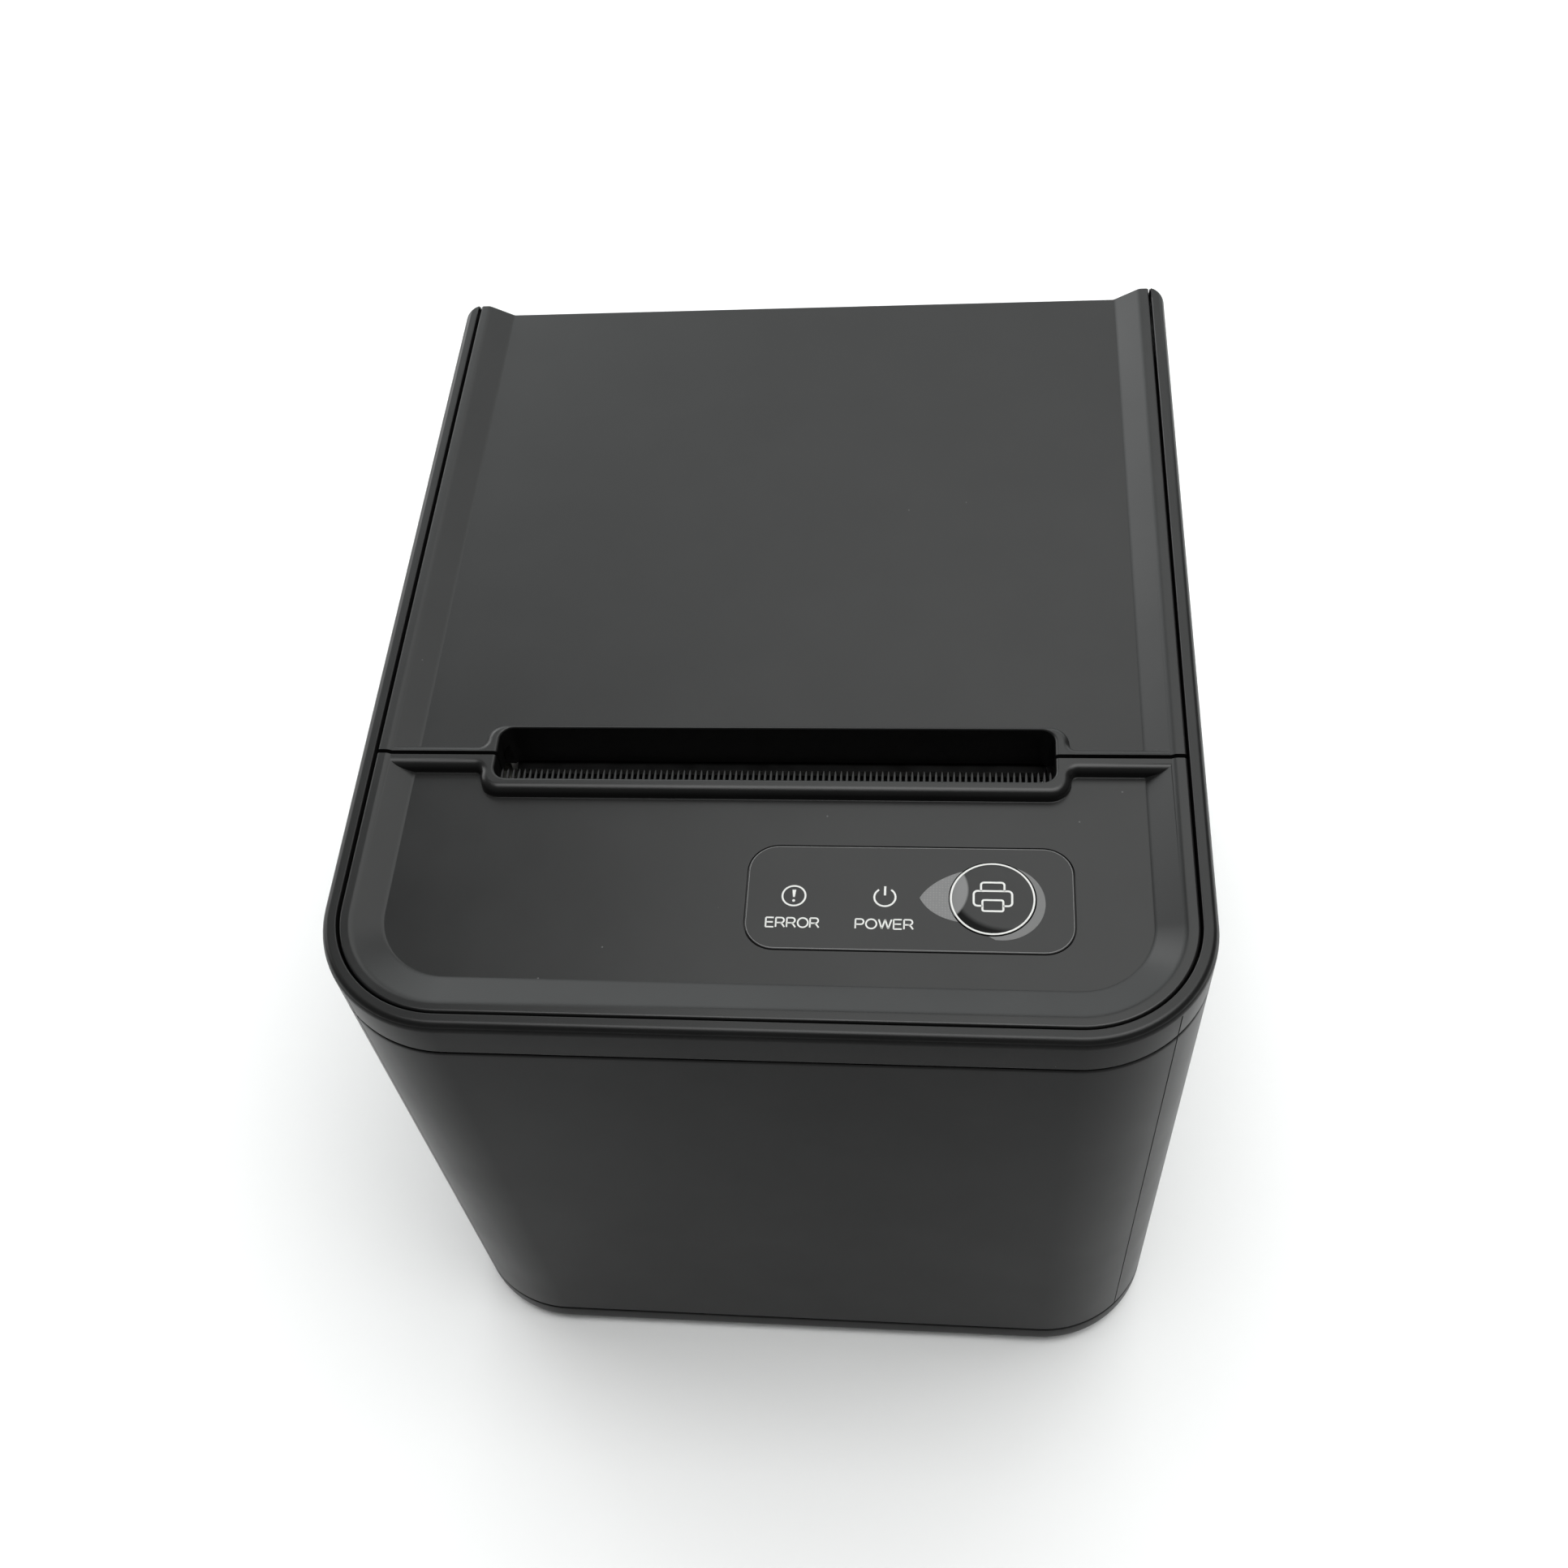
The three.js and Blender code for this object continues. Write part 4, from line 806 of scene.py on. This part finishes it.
def lid():
    front, rear = PARTING[1], HALF_DEPTH
    radius = REAR_EDGE_ROUND
    levels = [(lid_section(0), y) for y in (front, 30, rear - radius - 2)]
    levels += [(lid_section(drop), y) for drop, y in quarter(0, rear, radius, radius)]
    cover = loft("lid_skin", levels, "y")
    cut(
        cover,
        block("under", (-57.8, 57.8), (front + 2, rear - WALL), (90, PANEL - SKIN)),
        block("below", (-70, 70), (front - 1, rear - WALL), (90, COVER_BOTTOM)),
    )
    arm = [(44, 115.5), (44, COVER_BOTTOM), (HINGE[0] - KNUCKLE_RADIUS, HINGE[1])]
    arm += [(HINGE[0] + 3.78, HINGE[1]), (HINGE[0] + 3.78, 115.5)]
    parts = [lip("lips", *LID_LIP, -40)]
    parts.append(block("slot_wall", (-42.75, 42.75), (SLOT_Y[1] - 0.5, SLOT_Y[1] + 0.8), (110.4, 116)))
    holes = []
    for side in (-1, 1):
        x = span(side, 55.5, 57.5)
        parts.append(prism("arm", arm, *x, "x"))
        parts.append(prism("knuckle", circle(*HINGE, KNUCKLE_RADIUS), *x, "x"))
        holes.append(prism("hole", circle(*HINGE, HINGE_BORE, 32), *span(side, 50, 60), "x"))
    joined(cover, *parts)
    cut(cover, block("before", (-70, 70), (-60, front), (100, 130)), slot_hole(), *holes)
    piece(cover, "lid", "housing", "lid_housing", replaces=["lid"])
    paint_slot_shade(cover)
    cover.data.materials.append(MATERIALS["housing"])
    for face in cover.data.polygons:
        if face.center.y > (rear - 0.2) * MM or face.center.z < COVER_BOTTOM * MM:
            face.material_index = 2


TEETH = 95
PITCH = 0.875
COMB_ROOT = -31.1
COMB_FRONT = -34.8
COMB_Z = (115.9, 116.3)
# Half a tooth's (half width, y) pairs, from its root to its tip.
TOOTH = [(0.2, COMB_ROOT), (0.17, -29.5), (0.07, -28.8)]


def tear_comb():
    """The serrated tear bar: a flat strip under the cover with a comb of slim pointed teeth."""
    tooth = TOOTH + [(-x, y) for x, y in reversed(TOOTH)]
    half = TEETH * PITCH / 2
    line = [(-half - 0.1, COMB_FRONT), (half + 0.1, COMB_FRONT), (half + 0.1, COMB_ROOT)]
    for number in range(TEETH - 1, -1, -1):
        middle = (number + 0.5) * PITCH - half
        line += [(middle + x, y) for x, y in tooth]
    line.append((-half - 0.1, COMB_ROOT))
    comb = prism("tear_comb", line, *COMB_Z)
    edge = comb.modifiers.new("edge", "BEVEL")
    edge.width = 0.05 * MM
    edge.limit_method = "ANGLE"
    piece(settle(comb), "case", "inner_plastic", "comb", replaces=["tear_bar"])


# ---------- control panel ----------

OVERLAY_X = (-2.2, 44.1)
OVERLAY_Y = (-60.2, -42.6)
OVERLAY_RADIUS = 4.5
OVERLAY_TOP = 117.1
BUTTON = (32.6, -51.3)
BUTTON_HOLE = 6.12
ERROR_X = 4.75
POWER_X = 17.6
LIGHT_Y = -51.3
INK = (OVERLAY_TOP - 0.01, OVERLAY_TOP + 0.025)


def overlay_outline():
    return corners(OVERLAY_X, OVERLAY_Y, OVERLAY_RADIUS, OVERLAY_RADIUS, 12)


def overlay():
    """The control film, with a thin pale line painted just inside its edge as a highlight."""
    outline = overlay_outline()
    levels = [(0.14, 0.5), (0.14, 0.16), (0.18, 0.07), (0.24, 0.02), (0.34, 0)]
    film = loft("overlay_film", [(offset(outline, inset), OVERLAY_TOP - down) for inset, down in levels])
    cut(film, prism("hole", circle(*BUTTON, BUTTON_HOLE, 96), 110, 120))
    piece(film, "case", "overlay", replaces=["control_overlay"])
    z = (OVERLAY_TOP - 0.03, OVERLAY_TOP + 0.01)
    # A thin pale line just inside the film's edge: a painted highlight where the edge catches the light.
    highlight_line = drawn_line("overlay_edge_highlight", offset(outline, 0.36), 0.09, z)
    piece(highlight_line, "case", "overlay", "film_edge_highlight")


def letter_bowl(right, middle, radius):
    """The upper bowl of a P or an R."""
    curve_points = arc(right, middle, radius, 80, -80, 12)
    return [(0, 1), (right, 1), *curve_points, (right, middle - radius), (0, middle - radius)]


STEM = [(0, 0), (0, 1)]
# Each letter's width and its strokes, in units of the letter's height.
LETTERS = {
    "E": (0.78, [STEM, [(0, 1), (0.76, 1)], [(0, 0.52), (0.7, 0.52)], [(0, 0), (0.78, 0)]]),
    "O": (1.0, [circle(0.5, 0.5, 0.5, 40)]),
    "P": (0.8, [STEM, letter_bowl(0.5, 0.72, 0.28)]),
    "R": (0.86, [STEM, letter_bowl(0.52, 0.73, 0.27), [(0.42, 0.46), (0.6, 0.36), (0.86, 0)]]),
    "W": (1.22, [
        [(0, 1), (0.31, 0)], [(0.31, 0), (0.61, 1)],
        [(0.61, 1), (0.91, 0)], [(0.91, 0), (1.22, 1)],
    ]),
}
LETTER_GAP = 0.21
LETTER_STROKE = 0.22
WORD_Y = (-56.6, -54.85)
WORDS = [("error_word", "ERROR", (0.9, 8.6)), ("power_word", "POWER", (13.5, 21.75))]


def word(name, letters, x, y):
    """Plain lettering drawn with strokes between x[0] and x[1], and y[0] and y[1]."""
    stroke = LETTER_STROKE
    total = sum(LETTERS[letter][0] for letter in letters) + LETTER_GAP * (len(letters) - 1)
    scale = (x[1] - x[0] - stroke) / total
    height = y[1] - y[0] - stroke
    left = x[0] + stroke / 2
    strokes = []
    for letter in letters:
        width, lines = LETTERS[letter]
        for line in lines:
            points = [(left + u * scale, y[0] + stroke / 2 + v * height) for u, v in line]
            strokes.append(drawn_line("stroke", points, stroke, INK, closed=letter == "O"))
        left += (width + LETTER_GAP) * scale
    return merged(name, strokes)


def error_icon():
    bar = [(-0.14, -51.5), (0.14, -51.5), (0.26, -50.3), (-0.26, -50.3)]
    parts = [
        drawn_line("ring", circle(ERROR_X, LIGHT_Y, 1.64), 0.25, INK),
        prism("bar", [(ERROR_X + x, y) for x, y in bar], *INK),
        prism("dot", circle(ERROR_X, -52.1, 0.21, 16), *INK),
    ]
    piece(merged("error_icon", parts), "case", "overlay", "print_ink")


def power_icon():
    around = list(arc(POWER_X, LIGHT_Y, 1.49, 125, 415, 36))
    parts = [
        drawn_line("ring", around, 0.26, INK, closed=False),
        drawn_line("bar", [(POWER_X, -51.0), (POWER_X, -49.5)], 0.3, INK, closed=False),
    ]
    piece(merged("power_icon", parts), "case", "overlay", "print_ink")


def curve(start, bend, end, steps=14):
    """Points along a quadratic curve, without its last point."""
    for step in range(steps):
        t = step / steps
        a, b, c = (1 - t) ** 2, 2 * t * (1 - t), t * t
        yield (a * start[0] + b * bend[0] + c * end[0], a * start[1] + b * bend[1] + c * end[1])


def teardrop():
    """The leaf-shaped clear area round the button, with its point to the left."""
    leaf = [
        *arc(1.2, -0.6, 6.1, -98, 80, 40),
        *curve((-3.5, 4.7), (-8.2, 3.3), (-10.05, 0.2)),
        (-10.15, 0),
        *curve((-10.05, -0.2), (-8.5, -3.2), (-4.4, -3.9)),
        (-4.4, -3.9),
        (-0.9, -5.9),
    ]
    return [(BUTTON[0] + u, BUTTON[1] + v) for u, v in leaf]


def window():
    clear = prism("button_window", teardrop(), OVERLAY_TOP - 0.2, OVERLAY_TOP + 0.012)
    cut(clear, prism("hole", circle(*BUTTON, BUTTON_HOLE, 96), 110, 120))
    piece(clear, "case", "overlay", "window")


DOME = 0.38
DOME_RADIUS = 6
DOME_STEPS = 12
ICON_LINE = 0.28


def dome_height(radius):
    """The height of the button's domed top at a distance from its middle."""
    return OVERLAY_TOP - 0.05 + DOME * math.sqrt(1 - (radius / DOME_RADIUS) ** 2)


def feed_button():
    levels = [(circle(*BUTTON, DOME_RADIUS, 96), 114.6)]
    for step in range(DOME_STEPS + 1):
        radius = DOME_RADIUS * math.cos(math.pi / 2 * step / DOME_STEPS * 0.99)
        levels.append((circle(*BUTTON, radius, 96), dome_height(radius)))
    cap = loft("button_cap", levels)
    joined(cap, prism("stem", circle(*BUTTON, 1.6, 24), 113.95, 114.7))
    piece(cap, "button", "button", replaces=["feed_button"], sharp=40)
    ring = drawn_line("button_ring", circle(*BUTTON, 5.77, 128), 0.25, (116.9, OVERLAY_TOP + 0.11))
    piece(ring, "button", "button", "print_ink")
    z = (dome_height(3.4) - 0.01, dome_height(1.5) + 0.02)
    top_line = [(31, -50.2), (31, -48.8), (34.25, -48.8), (34.25, -50.2)]
    top_box = filleted(top_line, [0, 0.42, 0.42, 0], closed=False)
    body_line = [(31.2, -52.65), (29.98, -52.65), (29.98, -50.2)]
    body_line += [(35.3, -50.2), (35.3, -52.65), (34.05, -52.65)]
    body = filleted(body_line, [0, 0.56, 0.56, 0.56, 0.56, 0], closed=False)
    tray = filleted([(31.18, -51.7), (34.07, -51.7), (34.07, -53.5), (31.18, -53.5)], [0.28] * 4)
    strokes = [
        drawn_line("line", top_box, ICON_LINE, z, closed=False),
        drawn_line("line", body, ICON_LINE, z, closed=False),
        drawn_line("line", tray, ICON_LINE, z),
    ]
    piece(merged("printer_icon", strokes), "button", "button", "print_ink")


def labels():
    for name, letters, x in WORDS:
        piece(word(name, letters, x, WORD_Y), "case", "overlay", "print_ink")


# ---------- feet ----------


# (radius, height) pairs up a foot's side.
FOOT_SIDE = [(5.4, 0.0), (5.95, 0.08), (6.3, 0.3), (6.45, 0.7), (6.5, 1.2), (6.5, 2.6)]


def feet():
    for end, y in (("front", -FOOT[1]), ("rear", FOOT[1])):
        for side, x in (("left", -FOOT[0]), ("right", FOOT[0])):
            name = f"{end}_{side}"
            foot = loft("foot_pad_" + name, [(circle(x, y, radius), z) for radius, z in FOOT_SIDE])
            piece(foot, "case", "foot_rubber", replaces=["foot_" + name])


# ---------- rear sockets ----------

SOCKET_FLOOR = 15.9
SOCKET_FACE = 74.2


def socket_box(name, x, half_width, height, depth, inset=0.0, front=0.0, edge=0.3):
    """A socket's body on the board, its face set back by front, with rounded front edges."""
    low, high = SOCKET_FLOOR + inset, SOCKET_FLOOR + height - inset
    across = half_width - inset
    outline = [(x - across, low), (x + across, low), (x + across, high), (x - across, high)]
    face = SOCKET_FACE - front
    levels = [(0, SOCKET_FACE - depth + inset), (0, face - edge)]
    levels += [(edge * 0.3, face - edge * 0.3), (edge, face)]
    return loft(name, [(offset(outline, amount), y) for amount, y in levels], "y")


def opening(name, outline, deep, lead=0.3):
    """A socket's mouth with a short lead-in."""
    levels = [(0, -deep), (0, -lead), (lead, 0), (lead + 0.02, 1)]
    return loft(name, [(offset(outline, -wider), SOCKET_FACE + y) for wider, y in levels], "y")


def usb_socket():
    middle = SOCKET_FLOOR + 5.5
    outline = [
        (-4.2, middle - 3.9), (4.2, middle - 3.9), (4.2, middle + 2.2),
        (2.6, middle + 3.9), (-2.6, middle + 3.9), (-4.2, middle + 2.2),
    ]
    shell = socket_box("usb_shell", 0, 6, 11, 16)
    cavity = prism("cavity", offset(outline, -0.6), 59, SOCKET_FACE - 0.6, "y")
    cut(shell, cavity, opening("mouth", outline, 2, 0.2))
    piece(shell, "case", "socket_metal", replaces=["usb_socket"])
    core = prism("usb_core", offset(outline, -0.58), 59.02, SOCKET_FACE - 0.62, "y")
    cut(core, prism("mouth", outline, SOCKET_FACE - 9.5, SOCKET_FACE + 1, "y"))
    joined(core, block("tongue", (-2.7, 2.7), (64, SOCKET_FACE - 4.8), (middle - 1.3, middle + 1.3)))
    piece(core, "case", "inner_plastic")
    strips = []
    for side in (-1, 1):
        for face in (-1, 1):
            x = (side * 1.25 - 0.5, side * 1.25 + 0.5)
            z = sorted((middle + face * 1.28, middle + face * 1.4))
            strips.append(block("strip", x, (64.7, SOCKET_FACE - 5.1), z))
    piece(merged("usb_contacts", strips), "case", "socket_metal", "gold")


def jack_outline(x, half_width, bottom, top):
    """A modular jack's mouth, with the stepped notch for the plug's tab at the bottom."""
    right = [(1.7, bottom - 2.1), (1.7, bottom - 1.4), (3.1, bottom - 1.4), (3.1, bottom)]
    right += [(half_width, bottom), (half_width, top)]
    return [(x + u, z) for u, z in right] + [(x - u, z) for u, z in reversed(right)]


def jack_contacts(name, x, count, top, deep):
    """Sprung wires sloping back and down from the top of a jack's mouth."""
    wires = []
    front, back = SOCKET_FACE - 2.4, SOCKET_FACE - deep + 0.6
    slope = [(back, top - 3.4), (front, top - 0.9), (front + 0.5, top - 0.3)]
    slope += [(front + 0.5, top), (front, top - 0.4), (back, top - 3.0)]
    for number in range(count):
        middle = x + (number - (count - 1) / 2) * 1.02
        wires.append(prism("wire", slope, middle - 0.18, middle + 0.18, "x"))
    piece(merged(name, wires), "case", "socket_metal", "gold")


def network_socket():
    x, middle = 20, SOCKET_FLOOR + 6.7
    shell = socket_box("network_shell", x, 8, 13.4, 20, edge=0.2)
    inner = [(x + u, z) for u, z in ((-7.7, 16.2), (7.7, 16.2), (7.7, 29), (-7.7, 29))]
    cut(shell, prism("cavity", inner, 55, SOCKET_FACE + 1, "y"))
    piece(shell, "case", "socket_metal", replaces=["network_socket"])
    core = socket_box("network_core", x, 8, 13.4, 19, inset=0.32, front=0.25, edge=0.15)
    cut(core, opening("mouth", jack_outline(x, 5.9, middle - 3.8, middle + 3.8), 13))
    for side, label, look in ((-1, "left", "green_lens"), (1, "right", "amber_lens")):
        across = (x + side * 5.3 - 1.4, x + side * 5.3 + 1.4)
        height = (27.1, 28.5)
        cut(core, block("pocket", across, (SOCKET_FACE - 1, SOCKET_FACE + 1), height))
        lens = block("network_lens_" + label, across, (SOCKET_FACE - 1, SOCKET_FACE - 0.2), height)
        piece(lens, "case", "light_pipe", look)
    piece(core, "case", "inner_plastic")
    jack_contacts("network_contacts", x, 8, middle + 3.8, 13)


def drawer_socket():
    x, middle = 38.5, SOCKET_FLOOR + 6
    body = socket_box("drawer_socket_body", x, 6.7, 12, 16)
    cut(body, opening("mouth", jack_outline(x, 4.9, middle - 3.2, middle + 3.4), 11))
    piece(body, "case", "inner_plastic", replaces=["drawer_socket"])
    jack_contacts("drawer_contacts", x, 6, middle + 3.4, 11)


def power_inlet():
    x, middle = -18, SOCKET_FLOOR + 6.7
    body = socket_box("power_inlet_body", x, 7, 13.4, 15, edge=0.5)
    cut(body, opening("mouth", circle(x, middle, 4.7), 9, 0.5))
    key = (SOCKET_FACE - 9.5, SOCKET_FACE - 2.5)
    joined(body, block("key", (x - 1, x + 1), key, (middle - 4.9, middle - 3.6)))
    piece(body, "case", "inner_plastic", replaces=["power_inlet"])
    depth = (SOCKET_FACE - 8.9, SOCKET_FACE - 1.2)
    shield = prism("inlet_shield", circle(x, middle, 4.66, 64), *depth, "y")
    gap = block("gap", (x - 1.1, x + 1.1), (60, 80), (middle - 6, middle - 3))
    cut(shield, prism("hole", circle(x, middle, 4.4, 64), 60, 80, "y"), gap)
    piece(shield, "case", "socket_metal")
    pins = []
    for degrees in (-90, 30, 150):
        angle = math.radians(degrees)
        place = (x + 2.4 * math.cos(angle), middle + 2.4 * math.sin(angle))
        levels = [(0.6, 9.5), (0.6, 5.4), (0.45, 5.1), (0.2, 5)]
        pin = [(circle(*place, radius, 20), SOCKET_FACE - deep) for radius, deep in levels]
        pins.append(loft("pin", pin, "y"))
    piece(merged("inlet_pins", pins), "case", "socket_metal", "gold")


ROCKER = (-37, 70, 22.5)
ROCKER_TILT = -8
# The run and the rise of each half of the rocker's face, and the height of its middle.
ROCKER_RUN = 5.2
ROCKER_RISE = 0.8
ROCKER_MIDDLE = 3.2
MARK_OFFSET = 2.9


def rocker_marks():
    """The plain on and off strokes, one on each sloping half of the rocker."""
    for side, name in ((-1, "off_mark"), (1, "on_mark")):
        if side < 0:
            mark = drawn_line(name, circle(0, 0, 0.95, 32), 0.32, (-0.02, 0.03))
        else:
            mark = block(name, (-0.16, 0.16), (-1.1, 1.1), (-0.02, 0.03))
        turn = Matrix.Rotation(math.radians(ROCKER_TILT), 3, "Z")
        slope = Vector((1, side * ROCKER_RISE / ROCKER_RUN, 0)).normalized()
        along = turn @ -slope
        up = Vector((0, 0, 1))
        out = ROCKER_MIDDLE + ROCKER_RISE * MARK_OFFSET / ROCKER_RUN
        place = Vector(ROCKER) + turn @ Vector((side * MARK_OFFSET, out, 0))
        axes = Matrix((along, up, along.cross(up))).transposed().to_4x4()
        mark.data.transform(Matrix.Translation(place * MM) @ axes)
        piece(mark, "rocker", "inner_plastic", "print_ink")


def rear_sockets():
    usb_socket()
    network_socket()
    drawer_socket()
    power_inlet()
    rocker_marks()


# The blades and blade guides under the paper slot get near-black steel as painted shade, since the slot
# is dark inside.
CARRIED_LOOKS = {
    "rear_plate": "zinc_plate",
    "fixed_blade": "steel_darkened_as_shade",
    "cutter_blade": "steel_darkened_as_shade",
    "blade_guide_left": "steel_darkened_as_shade",
    "blade_guide_right": "steel_darkened_as_shade",
}


def carried_over():
    """Gives each CAD node its procedural material, by its own name or its slot's name."""
    for name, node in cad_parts.items():
        for slot in node.material_slots:
            slot.material = MATERIALS[CARRIED_LOOKS.get(name, plain_name(slot.material))]


base_tray()
case_shell()
top_frame()
front_cover()
lid()
tear_comb()
overlay()
window()
error_icon()
power_icon()
labels()
feed_button()
feet()
rear_sockets()
carried_over()

# ---------- floor and light ----------


def add_floor():
    half = 6000
    square = [(-half, -half, 0), (half, -half, 0), (half, half, 0), (-half, half, 0)]
    floor = new_object("floor", square, [(0, 1, 2, 3)])
    nodes = Nodes("floor")
    tone = nodes.mix(nodes.between(nodes.noise(400, 2), 0, 1), grey(0.88), grey(0.9))
    floor.data.materials.append(nodes.finish(Base_Color=tone, Roughness=0.9))


def area_light(name, place, target, size, radiance, tint=(1, 1, 1)):
    data = bpy.data.lights.new(name, "AREA")
    data.shape = "RECTANGLE"
    data.size, data.size_y = size
    data.energy = radiance * math.pi * size[0] * size[1]
    data.color = tint
    light = bpy.data.objects.new(name, data)
    light.location = place
    light.rotation_euler = (Vector(target) - Vector(place)).to_track_quat("-Z", "Y").to_euler()
    bpy.context.scene.collection.objects.link(light)


def add_world(strength):
    world = bpy.data.worlds.new("world")
    world.use_nodes = True
    world.node_tree.nodes["Background"].inputs["Color"].default_value = (1, 1, 1, 1)
    world.node_tree.nodes["Background"].inputs["Strength"].default_value = strength
    bpy.context.scene.world = world


add_floor()
add_world(0.07)
area_light("overhead_right", (0.365, 0.3, 1.15), (0.365, 0.3, 0), (1.27, 2.0), 2.25, (0.98, 1, 0.99))
area_light("overhead_left", (-1.1, 1.37, 1.15), (-1.1, 1.37, 0), (1.5, 1.06), 1.8, (0.95, 1, 1))
area_light("key", (0.1, -0.1, 1.1), (0.1, -0.1, 0), (1.1, 0.5), 3.2)
area_light("back", (0, 2.4, 0.75), (0, 0, 0.2), (4.0, 1.3), 1.8, (0.96, 1, 1))
area_light("window_left", (-2.0, 1.5, 0.9), (0, 0, 0.1), (2.2, 1.2), 3.0)
bpy.context.scene.view_settings.view_transform = "Standard"
